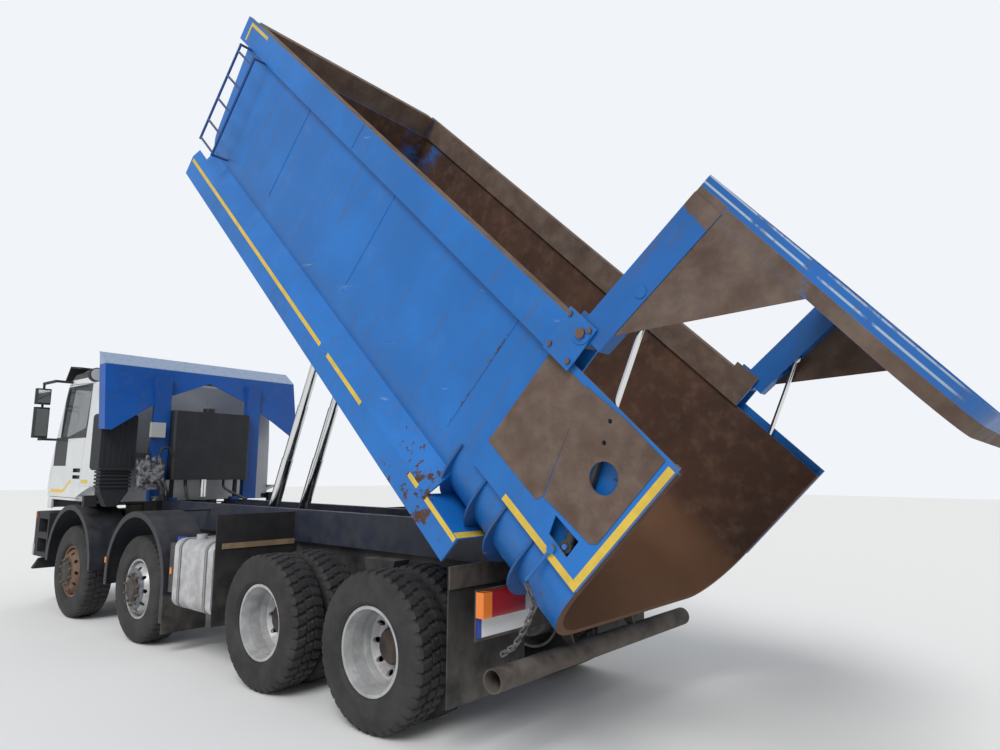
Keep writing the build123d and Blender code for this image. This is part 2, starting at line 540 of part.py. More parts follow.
CABIN_FLOOR = CAB_FLOOR + CAB_WALL
SEAT_Y = 560.0
with BuildPart() as cab_interior:
    for s in BOTH:
        block((CAB_X0 + 300, CAB_X0 + 760), (s * SEAT_Y - 240, s * SEAT_Y + 240), (1720, 1860))
        block((CAB_X0 + 350, CAB_X0 + 700), (s * SEAT_Y - 160, s * SEAT_Y + 160), (CABIN_FLOOR, 1721))
        plate(on_cab((300, 1800), (430, 1840), (330, 2420), (230, 2420)), (s * SEAT_Y - 235, s * SEAT_Y + 235))
        plate(on_cab((225, 2410), (315, 2410), (300, 2600), (225, 2600)), (s * SEAT_Y - 130, s * SEAT_Y + 130))
    plate(on_cab((1290, 1900), (1530, 1950), (1530, 1560), (1420, 1560), (1290, 1720)), (-1085, 1085))
    block((CAB_X0 + 1430, CAB_X0 + 1530), (-220, 220), (CABIN_FLOOR, 1561))
    wheel = Location((CAB_X0 + 1150, SEAT_Y, 1990), (0, -35, 0))
    with Locations(wheel):
        Torus(215, 16)
    rod((0, 0, -265), (0, 0, 4), 24, wheel)
    rod((-215, 0, 0), (215, 0, 0), 11, wheel)
    rod((0, -215, 0), (0, 215, 0), 11, wheel)
cab_interior.part.label = "cab_interior"
export_step(cab_interior.part, "parts/cab_interior.step")

MIRROR_Y = 1300.0
with BuildPart() as mirrors:
    for s in BOTH:
        for low, high in ((2170, 2580), (2620, 2830)):
            with BuildSketch(Plane.XY.offset(low)) as housing:
                with Locations((CAB_X0 + 1610, s * MIRROR_Y)):
                    RectangleRounded(100, 180, 35)
            extrude(housing.sketch, amount=high - low)
        rod((CAB_X0 + 1600, s * MIRROR_Y, 2140), (CAB_X0 + 1600, s * MIRROR_Y, 2910), 15)
        block((CAB_X0 + 1130, CAB_X0 + 1615), span(s, MIRROR_Y - 15, MIRROR_Y + 15), (2885, 2915))
        block((CAB_X0 + 1130, CAB_X0 + 1165), span(s, 1060, MIRROR_Y + 15), (2885, 2915))
        block((CAB_X0 + 1485, CAB_X0 + 1615), span(s, MIRROR_Y - 15, MIRROR_Y + 15), (2135, 2165))
        block((CAB_X0 + 1485, CAB_X0 + 1520), span(s, 1060, MIRROR_Y + 15), (2135, 2165))
    cab_form(0, mode=Mode.SUBTRACT)
mirrors.part.label = "mirrors"
export_step(mirrors.part, "parts/mirrors.step")

HANDLE = ((CAB_X0 + 510, CAB_X0 + 750), (1640, 1770))
for s, name in ((1, "left"), (-1, "right")):
    with BuildPart() as door:
        cab_form(0)
        cab_form(CAB_WALL, mode=Mode.SUBTRACT)
        with BuildSketch(side(span(s, CAB_Y - 100, CAB_Y + 10)[1])) as leaf:
            with BuildLine():
                Polyline(*DOOR, close=True)
            make_face()
            offset(amount=-DOOR_GAP, kind=Kind.INTERSECTION)
        extrude(leaf.sketch, amount=110, mode=Mode.INTERSECT)
        plate(PANE, span(s, CAB_Y - 160, CAB_Y + 10), mode=Mode.SUBTRACT)
        block(HANDLE[0], span(s, CAB_Y - 28, CAB_Y + 1), HANDLE[1], mode=Mode.SUBTRACT)
        block((HANDLE[0][0] - 1, HANDLE[0][1] + 1), span(s, CAB_Y - 14, CAB_Y), (HANDLE[1][0] + 45, HANDLE[1][0] + 80))
        for z in HINGE_Z:
            block((CAB_X0 + 1480, HINGE_X), span(s, HINGE_Y - 9, HINGE_Y), (z, z + HINGE_H))
            rod((HINGE_X, s * HINGE_Y, z), (HINGE_X, s * HINGE_Y, z + HINGE_H), 9)
            rod((HINGE_X, s * HINGE_Y, z - 1), (HINGE_X, s * HINGE_Y, z + HINGE_H + 1), 5.05, mode=Mode.SUBTRACT)
    door.part.label = "door_" + name
    export_step(door.part, "parts/door_" + name + ".step")
    with BuildPart() as pane:
        cab_form(GLASS[0])
        cab_form(GLASS[1], mode=Mode.SUBTRACT)
        with BuildSketch(side(span(s, CAB_Y - 160, CAB_Y + 10)[1])) as window:
            with BuildLine():
                Polyline(*PANE, close=True)
            make_face()
        extrude(window.sketch, amount=170, mode=Mode.INTERSECT)
    pane.part.label = "door_glass_" + name
    export_step(pane.part, "parts/door_glass_" + name + ".step")


# Wheels: radius and offset outwards from the middle of the tyre, s turns the outside to the left or right

TYRE_H = TYRE_W / 2
BEAD = TYRE_H - 40
TYRE_FORM = ((BEAD_R, -BEAD), (303, -BEAD), (310, -BEAD - 18), (330, 5 - TYRE_H), (430, -TYRE_H),
             (505, 12 - TYRE_H), (TYRE_R - 5, 38 - TYRE_H), (TYRE_R, 0), (TYRE_R - 5, TYRE_H - 38), (505, TYRE_H - 12), (430, TYRE_H), (330, TYRE_H - 5),
             (310, BEAD + 18), (303, BEAD), (BEAD_R, BEAD))
DISC_OUT = 175.0            # mounting face of the disc from the middle of the tyre
RIM_FORM = ((BEAD_R, BEAD), (302, BEAD), (302, BEAD + 8), (280, BEAD + 8), (272, 62), (258, 104),
            (222, 152), (178, DISC_OUT), (128, DISC_OUT), (128, DISC_OUT - 12), (170, DISC_OUT - 12),
            (212, 140), (246, 95), (262, 40), (266, -60), (280, -BEAD - 8), (302, -BEAD - 8), (302, -BEAD),
            (BEAD_R, -BEAD))
SPINDLE_R = 45.0
STEER_HUB = ((60.05, -104), (140, -104), (140, 60), (150, 120), (150, DISC_OUT - 12), (128, DISC_OUT - 12),
             (128, DISC_OUT + 10), (90, DISC_OUT + 30), (0, DISC_OUT + 30), (0, 25), (60.05, 25))
DRIVE_HUB = ((45.05, -510), (200, -510), (200, -330), (150, -300), (150, -187), (128, -187), (128, -80),
             (110, -60), (0, -60), (0, -190), (45.05, -190))


HAND_R = 22.0               # hand holes in the discs
HAND_AT = 215.0
HANDS = 10


def turned(form, x, y, s, flip=1):
    """A wheel form at axle x and tyre middle y."""
    ring([(r, s * flip * t) for r, t in form], x, y)


def hand_holes(x, y):
    """Round holes through the disc of the wheel whose tyre middle is at y."""
    for i in range(HANDS):
        turn = 2 * math.pi * i / HANDS
        at = (x + HAND_AT * math.cos(turn), HUB_Z + HAND_AT * math.sin(turn))
        rod((at[0], y - TYRE_H - 40, at[1]), (at[0], y + TYRE_H + 40, at[1]), HAND_R, mode=Mode.SUBTRACT)


WHEELS = (("1l", 0, 1), ("1r", 0, -1), ("2l", 1, 1), ("2r", 1, -1), ("3l", 2, 1), ("3r", 2, -1), ("4l", 3, 1),
          ("4r", 3, -1))
for name, axle, s in WHEELS:
    x = AXLE_X[axle]
    if axle < 2:
        with BuildPart() as knuckle:
            rod((x, s * KING_Y, 430), (x, s * KING_Y, 500), 50)
            rod((x, s * KING_Y, 580), (x, s * KING_Y, 650), 50)
            block((x - 60, x + 60), span(s, 902, 938), (430, 650))
            block((x - 40, x + 40), span(s, KING_Y, 938), (430, 499))
            block((x - 40, x + 40), span(s, KING_Y, 938), (581, 650))
            rod((x, s * 930, HUB_Z), (x, s * 1070, HUB_Z), 60)
        knuckle.part.label = "knuckle_" + name
        export_step(knuckle.part, "parts/knuckle_" + name + ".step")
    with BuildPart() as tyre:
        if axle < 2:
            turned(TYRE_FORM, x, s * STEER_Y, s)
        else:
            turned(TYRE_FORM, x, s * WHEEL_Y, s)
            turned(TYRE_FORM, x, s * (WHEEL_Y - TWIN_GAP), s)
    tyre.part.label = "tyre_" + name
    export_step(tyre.part, "parts/tyre_" + name + ".step")
    with BuildPart() as rim:
        if axle < 2:
            turned(RIM_FORM, x, s * STEER_Y, s)
            hand_holes(x, s * STEER_Y)
            turned(STEER_HUB, x, s * STEER_Y, s)
        else:
            turned(RIM_FORM, x, s * WHEEL_Y, s, -1)
            hand_holes(x, s * WHEEL_Y)
            turned(RIM_FORM, x, s * (WHEEL_Y - TWIN_GAP), s)
            turned(DRIVE_HUB, x, s * WHEEL_Y, s)
    rim.part.label = "rim_" + name
    export_step(rim.part, "parts/rim_" + name + ".step")


# Bed, in its own frame: u forward along the floor, y to the left, w up from the top edge

def tub_section(half, floor, top, radius, x, mode=Mode.ADD):
    with BuildSketch(across(x[0], BED)) as face:
        with BuildLine():
            Polyline((-half, floor + radius), (-half, top), (half, top), (half, floor + radius))
            RadiusArc((half, floor + radius), (half - radius, floor), radius)
            Line((half - radius, floor), (-half + radius, floor))
            RadiusArc((-half + radius, floor), (-half, floor + radius), radius)
        make_face()
    extrude(face.sketch, amount=x[1] - x[0], mode=mode)


BED_LEN = 6100.0            # front wall at the top
WALL_LEAN = 0.132           # the front wall runs back this much for each mm down
TUB_FRONT = 60.0            # front wall


def wall_u(w):
    """Outer face of the front wall at a height."""
    return BED_LEN + WALL_LEAN * (w + RAIL_TOP)


def before_wall(back):
    """Side outline of all that lies before the front wall, moved back by a distance."""
    return ((wall_u(900) - back, 900), (BED_LEN + 900, 900), (BED_LEN + 900, -1700), (wall_u(-1700) - back, -1700))


BOX_U = (75.0, 1000.0)      # opening in the tub's side for the tailgate ram
BOX_LOW = -960.0
SIDE_Y = (1258.0, 1268.0)   # cover sheet of the ram
RIB_U = (420, 690, 910, 1210)
RIB_H = 75.0
RIB_T = 16.0
BEARER_U = (1400, 2050, 2700, 3350, 4000, 4850, 5500)
RAM_LOW = Vector(250, 0, -850)      # lower pin of the tailgate rams
LADDER_U = (5575, 5940)
LADDER_W = (-1130, -120)
LADDER_Y = 1378.0
RUNG_W = (-186, -440, -680, -914, -1110)

with BuildPart() as load_space:
    tub_section(TUB_IN, TUB_FLOOR + TUB_PLATE, 500, TUB_R - 50, (-10, BED_LEN + 100))
    plate(before_wall(TUB_FRONT), (-TUB_OUT, TUB_OUT), BED, mode=Mode.SUBTRACT)

with BuildPart() as bed_tub:
    tub_section(TUB_OUT, TUB_FLOOR, -RAIL_TOP, TUB_R, (LIP_U, BED_LEN))
    plate(before_wall(0), (-TUB_OUT - 1, TUB_OUT + 1), BED, mode=Mode.SUBTRACT)
    add(load_space.part, mode=Mode.SUBTRACT)
    for s in BOTH:
        block(BOX_U, span(s, 1187, 1300), (BOX_LOW, 0), BED, mode=Mode.SUBTRACT)
bed_tub.part.label = "bed_tub"
export_step(bed_tub.part, "parts/bed_tub.step")

SKIRT_Y = (1255.0, 1275.0)
SKIRT_W = (-1602.0, -1400.0)
SHELF_Y = 1188.0            # the shelf above the skirt meets the tub here
SHELF_W = -1203.0
SHELF_END = 1210.0          # rear end of the sloping shelf, flat from there back
SHEET_T = 10.0
BEAM_Y = (365.0, 440.0)
EAR_Y = ((1155, 1172), (1297, 1309))


def clear_of_tub():
    """Cut away what would lie inside the tub or before its front wall."""
    plate(before_wall(0), (-TUB_OUT, TUB_OUT), BED, mode=Mode.SUBTRACT)
    tub_section(TUB_OUT, TUB_FLOOR, -RAIL_TOP, TUB_R, (-10, BED_LEN), mode=Mode.SUBTRACT)


with BuildPart() as bed_rails:
    for s in BOTH:
        block((1060, 6250), span(s, 1155, 1275), (-RAIL_TOP, RAIL_TOP), BED)
    plate(before_wall(0), (-TUB_OUT, TUB_OUT), BED, mode=Mode.SUBTRACT)
    block((wall_u(RAIL_TOP) - TUB_FRONT, 6250), (-1156, 1156), (-RAIL_TOP, RAIL_TOP), BED)
    for s in BOTH:
        for low, high in EAR_Y:
            block((870, 1100), span(s, low, high), (-RAIL_TOP, 170), BED)
        block((1062, 1100), span(s, 1275, 1297), (-RAIL_TOP, RAIL_TOP), BED)
        rod((GATE_U, s * EAR_Y[0][0], GATE_W), (GATE_U, s * (EAR_Y[1][1] + 8), GATE_W), 30, BED)
        rod((GATE_U, s * EAR_Y[1][1], GATE_W), (GATE_U, s * (EAR_Y[1][1] + 6), GATE_W), 62, BED)
bed_rails.part.label = "bed_rails"
export_step(bed_rails.part, "parts/bed_rails.step")

# Across the skirt, y and w: its sloping shelf, and the brackets below it
SHELF = ((SKIRT_Y[1], SKIRT_W[1] - 2), (SKIRT_Y[1], SKIRT_W[1]), (SHELF_Y, SHELF_W), (SHELF_Y - 30, SHELF_W),
         (SKIRT_Y[1] - SHEET_T, SKIRT_W[1] - 2))
BRACKET = ((SKIRT_Y[0] + 1, SKIRT_W[1] - 160), (SKIRT_Y[0] + 1, SKIRT_W[1]), (SHELF_Y - 4, SHELF_W - 10),
           (1000, SKIRT_W[1] + 10), (1000, SKIRT_W[1] - 60))
BRACKET_U = range(1500, 6000, 850)
with BuildPart() as bed_skirts:
    for s in BOTH:
        block((820, 6165), span(s, *SKIRT_Y), SKIRT_W, BED)
        block((820, SHELF_END), span(s, 880, SKIRT_Y[1]), (SKIRT_W[1] - SHEET_T, SKIRT_W[1]), BED)
        section([(s * y, w) for y, w in SHELF], (SHELF_END - SHEET_T, 6165), BED)
        for u in BRACKET_U:
            section([(s * y, w) for y, w in BRACKET], (u, u + SHEET_T), BED)
    clear_of_tub()
bed_skirts.part.label = "bed_skirts"
export_step(bed_skirts.part, "parts/bed_skirts.step")

with BuildPart() as bed_ribs:
    for u in RIB_U:
        tub_section(TUB_OUT + 18, TUB_FLOOR - RIB_H, BOX_LOW - 20, TUB_R - 30, (u, u + RIB_T))
    clear_of_tub()
    block((RIB_U[0] - 10, RIB_U[-1] + 30), (-BEAM_Y[1], BEAM_Y[1]), (-1600, -1400), BED, mode=Mode.SUBTRACT)
    add(bed_skirts.part, mode=Mode.SUBTRACT)
bed_ribs.part.label = "bed_ribs"
export_step(bed_ribs.part, "parts/bed_ribs.step")

with BuildPart() as bed_underframe:
    for s in BOTH:
        block((930, 5900), span(s, *BEAM_Y), (-1545, TUB_FLOOR), BED)
        rod((PIVOT_U, s * 385, PIVOT_W), (PIVOT_U, s * 440, PIVOT_W), 60, BED)
        rod((PIVOT_U, s * 300, PIVOT_W), (PIVOT_U, s * 500, PIVOT_W), 30.05, BED, mode=Mode.SUBTRACT)
        block((HOIST_U - 70, HOIST_U + 70), span(s, 90, 120), (HOIST_W - 50, TUB_FLOOR), BED)
        block((HOIST_U - 70, HOIST_U + 70), span(s, 270, 300), (HOIST_W - 50, TUB_FLOOR), BED)
        rod((HOIST_U, s * 90, HOIST_W), (HOIST_U, s * 300, HOIST_W), 30, BED)
    for u in BEARER_U:
        block((u, u + 60), (-BEAM_Y[0] - 1, BEAM_Y[0] + 1), (-1500, TUB_FLOOR), BED)
bed_underframe.part.label = "bed_underframe"
export_step(bed_underframe.part, "parts/bed_underframe.step")

# Rear covers of the tailgate rams with their levers, and the ladder
with BuildPart() as bed_fittings:
    for s in BOTH:
        block((LIP_U, 1060), span(s, *SIDE_Y), (-980, -70), BED)
        block((BOX_U[1], BOX_U[1] + 60), span(s, TUB_OUT, SIDE_Y[1]), (-980, -RAIL_TOP), BED)
        block((LIP_U, BOX_U[0]), span(s, TUB_OUT, SIDE_Y[1]), (-980, -70), BED)
        block((LIP_U, 1060), span(s, TUB_OUT, SIDE_Y[1]), (-980, BOX_LOW), BED)
        plate(((739, -110), (525, -749), (412, -737), (150, -715), (115, -680), (120, -90), (414, -85)),
              span(s, SIDE_Y[1] - 1, SIDE_Y[1] + 6), BED)
        plate(((1055, -110), (1055, -800), (560, -800), (535, -749), (735, -120)),
              span(s, SIDE_Y[1] - 1, SIDE_Y[1] + 3), BED)
        rod((317, s * (SIDE_Y[0] - 2), -402), (317, s * (SIDE_Y[1] + 8), -402), 90, BED, mode=Mode.SUBTRACT)
        for u, w in ((491, -153), (442, -262)):
            rod((u, s * (SIDE_Y[0] - 2), w), (u, s * (SIDE_Y[1] + 8), w), 14, BED, mode=Mode.SUBTRACT)
        plate(((204, -760), (199, -880), (366, -873), (405, -765)), span(s, SIDE_Y[0] - 2, SIDE_Y[1] + 8), BED,
              mode=Mode.SUBTRACT)
        rod((296, s * (SIDE_Y[1] - 2), -915), (296, s * (SIDE_Y[1] + 22), -915), 26, BED)
        rod((296, s * (SIDE_Y[1] + 10), -900), (296, s * (SIDE_Y[1] + 10), -1169), 11, BED)
    for u in LADDER_U:
        rod((u, LADDER_Y, LADDER_W[0]), (u, LADDER_Y, LADDER_W[1]), 12, BED)
        for w in LADDER_W:
            rod((u, 1150 if w < -1000 else 1236, w), (u, LADDER_Y + 10, w), 12, BED)
    for w in RUNG_W:
        rod((LADDER_U[0], LADDER_Y, w), (LADDER_U[1], LADDER_Y, w), 11, BED)
    clear_of_tub()
    add(bed_rails.part, mode=Mode.SUBTRACT)
    for s in BOTH:
        rod((RAM_LOW.X, s * 1187, RAM_LOW.Z), (RAM_LOW.X, s * SIDE_Y[1], RAM_LOW.Z), 15, BED)
bed_fittings.part.label = "bed_fittings"
export_step(bed_fittings.part, "parts/bed_fittings.step")

ARM_Y = (1180.0, 1290.0)
ARM_W = (-48.0, 152.0)
ARM_SLOT = ((500, 700), (1195, 1250), (ARM_W[0] - 1, 62))       # room for the ram's eye
GATE_PIN = (547.0, -38.0)
GATE_Y = 1284.0
GATE_LOW = -1460.0
GATE_R = 450.0
RIB_OUT = -105.0            # outer face of the tailgate's ribs
SKIN_OUT = -25.0
GATE_SKIN = 38.0            # inner face of the tailgate


def gate_outline(inset, u):
    """Outline of the tailgate at u, square above and round below."""
    half = GATE_Y - inset
    low = GATE_LOW + inset
    r = GATE_R - inset
    with BuildSketch(across(u, GATE)) as face:
        with BuildLine():
            Polyline((-half, low + r), (-half, ARM_W[1] - inset), (half, ARM_W[1] - inset), (half, low + r))
            RadiusArc((half, low + r), (half - r, low), r)
            Line((half - r, low), (r - half, low))
            RadiusArc((r - half, low), (-half, low + r), r)
        make_face()
    return face.sketch


with BuildPart() as tailgate:
    extrude(gate_outline(0, RIB_OUT), amount=GATE_SKIN - RIB_OUT)
    extrude(gate_outline(60, RIB_OUT - 1), amount=SKIN_OUT - RIB_OUT + 1, mode=Mode.SUBTRACT)
    for s in BOTH:
        block((RIB_OUT, SKIN_OUT + 1), span(s, 690, 760), (GATE_LOW + 30, ARM_W[1] - 30), GATE)
    block((RIB_OUT, SKIN_OUT + 1), (-GATE_Y + 30, GATE_Y - 30), (-700, -640), GATE)
    block((RIB_OUT, SKIN_OUT + 1), (-GATE_Y + 30, GATE_Y - 30), (-160, -100), GATE)
    for s in BOTH:
        block((0, GATE_U), span(s, *ARM_Y), ARM_W, GATE)
        rod((GATE_U, s * ARM_Y[0], GATE_W), (GATE_U, s * ARM_Y[1], GATE_W), 75, GATE)
        rod((GATE_U, s * 1150, GATE_W), (GATE_U, s * 1310, GATE_W), 30.05, GATE, mode=Mode.SUBTRACT)
        block(ARM_SLOT[0], span(s, *ARM_SLOT[1]), ARM_SLOT[2], GATE, mode=Mode.SUBTRACT)
        plate(((814, -47), (37, -47), (37, -650)), span(s, 1276, GATE_Y), GATE)
        rod((GATE_PIN[0], s * ARM_SLOT[1][1], GATE_PIN[1] + 40), (GATE_PIN[0], s * (ARM_Y[1] + 6), GATE_PIN[1] + 40),
            34, GATE)
tailgate.part.label = "tailgate"
export_step(tailgate.part, "parts/tailgate.step")


# Tipping hoists: four-stage rams on each side of the propeller shaft, drawn out

hoist_dir = (hoist_high - HOIST_LOW).normalized()
HOIST_BARREL = 800.0        # low pin to the barrel's mouth
HOIST_STEPS = (660.0, 595.0, 595.0)
HOIST_RADII = (67.5, 59.5, 53.5, 47.0, 40.0)


def hoist_point(y, along):
    p = HOIST_LOW + hoist_dir * along
    return (p.X, y, p.Z)


with BuildPart() as hoist_barrels:
    for s in BOTH:
        y = s * HOIST_Y
        rod(hoist_point(y, 60), hoist_point(y, HOIST_BARREL), HOIST_RADII[0])
        rod((HOIST_LOW.X, y - 60, HOIST_LOW.Z), (HOIST_LOW.X, y + 60, HOIST_LOW.Z), 62)
        rod(hoist_point(y, 100), hoist_point(y, HOIST_BARREL + 10), HOIST_RADII[1] + 0.05, mode=Mode.SUBTRACT)
        rod((HOIST_LOW.X, y - 70, HOIST_LOW.Z), (HOIST_LOW.X, y + 70, HOIST_LOW.Z), 25.05, mode=Mode.SUBTRACT)
hoist_barrels.part.label = "hoist_barrels"
export_step(hoist_barrels.part, "parts/hoist_barrels.step")

hoist_low_high = Vector(pivot.X + HOIST_U - PIVOT_U, 0, pivot.Z + HOIST_W - PIVOT_W)
hoist_stroke = (hoist_high - HOIST_LOW).length - (hoist_low_high - HOIST_LOW).length
HOIST_TUBE = 690.0
steps = HOIST_STEPS + (hoist_stroke - sum(HOIST_STEPS),)
mouth = HOIST_BARREL
for stage in (1, 2, 3, 4):
    mouth += steps[stage - 1]
    with BuildPart() as tube:
        for s in BOTH:
            y = s * HOIST_Y
            eye = (hoist_high - HOIST_LOW).length - 40
            rod(hoist_point(y, mouth - HOIST_TUBE), hoist_point(y, mouth if stage < 4 else eye), HOIST_RADII[stage])
            if stage < 4:
                rod(hoist_point(y, mouth - HOIST_TUBE - 5), hoist_point(y, mouth + 5),
                    HOIST_RADII[stage + 1] + 0.05, mode=Mode.SUBTRACT)
            else:
                rod((hoist_high.X, y - 60, hoist_high.Z), (hoist_high.X, y + 60, hoist_high.Z), 55)
                rod((hoist_high.X, y - 70, hoist_high.Z), (hoist_high.X, y + 70, hoist_high.Z), 30.05,
                    mode=Mode.SUBTRACT)
    tube.part.label = "hoist_stage_" + str(stage)
    export_step(tube.part, "parts/hoist_stage_" + str(stage) + ".step")


# Tailgate rams, in the bed's frame

RAM_Y = 1222.5
turn = Location((GATE_U, 0, GATE_W)) * Location((0, 0, 0), (0, GATE_CLOSE, 0)) * Location((-GATE_U, 0, -GATE_W))
RAM_HIGH = (turn * Location((GATE_PIN[0], 0, GATE_PIN[1]))).position
ram_dir = (RAM_HIGH - RAM_LOW).normalized()
RAM_BARREL = 760.0


def ram_point(y, along):
    p = RAM_LOW + ram_dir * along
    return (p.X, y, p.Z)


with BuildPart() as gate_barrels:
    for s in BOTH:
        y = s * RAM_Y
        rod(ram_point(y, 30), ram_point(y, RAM_BARREL), 32, BED)
        rod((RAM_LOW.X, y - 30, RAM_LOW.Z), (RAM_LOW.X, y + 30, RAM_LOW.Z), 38, BED)
        rod(ram_point(y, 60), ram_point(y, RAM_BARREL + 5), 18.05, BED, mode=Mode.SUBTRACT)
        rod((RAM_LOW.X, y - 40, RAM_LOW.Z), (RAM_LOW.X, y + 40, RAM_LOW.Z), 15.05, BED, mode=Mode.SUBTRACT)
gate_barrels.part.label = "gate_barrels"
export_step(gate_barrels.part, "parts/gate_barrels.step")

with BuildPart() as gate_rods:
    for s in BOTH:
        y = s * RAM_Y
        rod(ram_point(y, 700), ram_point(y, (RAM_HIGH - RAM_LOW).length), 18, BED)
        rod((RAM_HIGH.X, y - 16, RAM_HIGH.Z), (RAM_HIGH.X, y + 16, RAM_HIGH.Z), 32, BED)
        rod((RAM_HIGH.X, y - 22, RAM_HIGH.Z), (RAM_HIGH.X, y + 22, RAM_HIGH.Z), 14, BED)
gate_rods.part.label = "gate_rods"
export_step(gate_rods.part, "parts/gate_rods.step")

# Safety chain from the lever down to the rear pipe: x from the last axle, y, z

CHAIN = ((-1411, 1278, 1154), (-1475, 1285, 1037), (-1402, 1270, 914), (-1292, 1230, 784), (-1182, 1195, 719))
LINK = (62.0, 34.0)
WIRE = 10.0
PITCH = 43.0


def along_path(points, step):
    """Points and directions at equal steps along a line of points."""
    places = []
    left = step / 2
    for a, b in zip(points, points[1:]):
        start = Vector(*a)
        leg = Vector(*b) - start
        while left < leg.length:
            places.append((start + leg.normalized() * left, leg.normalized()))
            left += step
        left -= leg.length
    return places


chain_line = [(AFT + x, y, z) for x, y, z in CHAIN]
with BuildPart() as safety_chain:
    for i, (at, ahead) in enumerate(along_path(chain_line, PITCH)):
        out = Vector(0, 1, 0)
        normal = out if i % 2 else ahead.cross(out).normalized()
        flat = Plane(origin=at - normal * (WIRE / 2), x_dir=ahead, z_dir=normal)
        with BuildSketch(flat) as link:
            RectangleRounded(LINK[0], LINK[1], LINK[1] / 2 - 1)
            RectangleRounded(LINK[0] - 2 * WIRE, LINK[1] - 2 * WIRE, LINK[1] / 2 - WIRE - 1, mode=Mode.SUBTRACT)
        extrude(link.sketch, amount=WIRE)
safety_chain.part.label = "safety_chain"
export_step(safety_chain.part, "parts/safety_chain.step")
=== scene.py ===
"""Looks of a four-axle tipper truck whose bed is raised and whose tailgate is open.

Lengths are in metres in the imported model's frame: X to the front, Y to the left, Z up.
"""

import json
import logging
import math
from dataclasses import dataclass
from enum import Enum
from functools import reduce
from typing import Iterable, Sequence, Union

import bmesh
import bpy
import numpy as np
from mathutils import Matrix, Vector


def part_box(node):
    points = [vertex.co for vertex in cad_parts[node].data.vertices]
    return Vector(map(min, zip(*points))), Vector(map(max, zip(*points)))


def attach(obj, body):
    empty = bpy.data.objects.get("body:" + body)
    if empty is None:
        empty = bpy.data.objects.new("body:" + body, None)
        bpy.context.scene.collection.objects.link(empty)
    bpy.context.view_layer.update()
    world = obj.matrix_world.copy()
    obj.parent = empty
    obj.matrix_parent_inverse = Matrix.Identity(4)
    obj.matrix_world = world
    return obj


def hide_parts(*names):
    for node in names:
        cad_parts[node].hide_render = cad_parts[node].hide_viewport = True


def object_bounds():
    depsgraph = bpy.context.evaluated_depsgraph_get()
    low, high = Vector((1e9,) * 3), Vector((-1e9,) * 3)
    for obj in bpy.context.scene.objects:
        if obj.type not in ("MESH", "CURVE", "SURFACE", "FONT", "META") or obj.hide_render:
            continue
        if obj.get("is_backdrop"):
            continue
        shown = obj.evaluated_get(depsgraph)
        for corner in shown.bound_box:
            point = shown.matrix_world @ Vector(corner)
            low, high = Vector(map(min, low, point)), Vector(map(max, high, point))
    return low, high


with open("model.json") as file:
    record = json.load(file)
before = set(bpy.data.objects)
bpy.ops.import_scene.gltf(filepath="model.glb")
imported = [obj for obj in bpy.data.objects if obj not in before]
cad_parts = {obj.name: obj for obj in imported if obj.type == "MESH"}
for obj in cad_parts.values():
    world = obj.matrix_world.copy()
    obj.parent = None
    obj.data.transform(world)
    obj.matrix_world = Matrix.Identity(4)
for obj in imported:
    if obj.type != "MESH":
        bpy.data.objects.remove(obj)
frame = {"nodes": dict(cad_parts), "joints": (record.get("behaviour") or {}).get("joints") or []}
LOG = logging.getLogger("scene")
Socket = bpy.types.NodeSocket
Group = bpy.types.NodeTree
Point = tuple[float, float, float]
Colour = Point
Vec = Sequence[float]
Number = Union[float, Socket]
Value = Union[float, Vec, Socket]
Mesh = tuple[np.ndarray, Iterable]
Line = Sequence[Vec]
Steps = tuple[tuple[str, float, float], ...]


# Frames of the bed and the tailgate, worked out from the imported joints

def joint(name: str) -> dict:
    """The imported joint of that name."""
    return next(j for j in frame["joints"] if j["name"] == name)


@dataclass(frozen=True)
class Slope:
    """A frame turned about the Y axis, with u along it and w up from it."""

    x: float
    z: float
    degrees: float

    @property
    def axes(self) -> np.ndarray:
        """Rows are the directions of u, y and w.

        Returns:
            Three rows of unit length.
        """
        turn = math.radians(self.degrees)
        c, s = math.cos(turn), math.sin(turn)
        return np.array([(c, 0.0, s), (0.0, 1.0, 0.0), (-s, 0.0, c)])

    def points(self, local: Line) -> np.ndarray:
        """Places of points given by their u, y and w."""
        return np.array([self.x, 0.0, self.z]) + np.asarray(local, float) @ self.axes

    @staticmethod
    def through(anchor: Vec, u: float, w: float, degrees: float) -> "Slope":
        """Frame in which a known point has the coordinates u and w.

        Args:
            anchor: The point in the model's frame.
            u: Its place along the slope.
            w: Its height above the slope.
            degrees: Turn of the slope, nose up.

        Returns:
            The frame.
        """
        start = np.array(anchor) - Slope(0.0, 0.0, degrees).points((u, 0.0, w))
        return Slope(float(start[0]), float(start[2]), degrees)


BED_ANGLE = 43.3
GATE_OPEN = 84.0
BED_PIN = (1.037, -1.52)
GATE_PIN = (0.935, 0.098)
BED = Slope.through(joint("bed_tilt")["pos_m"], *BED_PIN, BED_ANGLE)
GATE = Slope.through(joint("gate_hinge")["pos_m"], *GATE_PIN, BED_ANGLE - GATE_OPEN)
LAST_AXLE = sum(c[0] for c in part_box("tyre_4l")) / 2
HUB_Z = sum(c[2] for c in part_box("tyre_4l")) / 2
SIDES = (1, -1)


# Shader building blocks

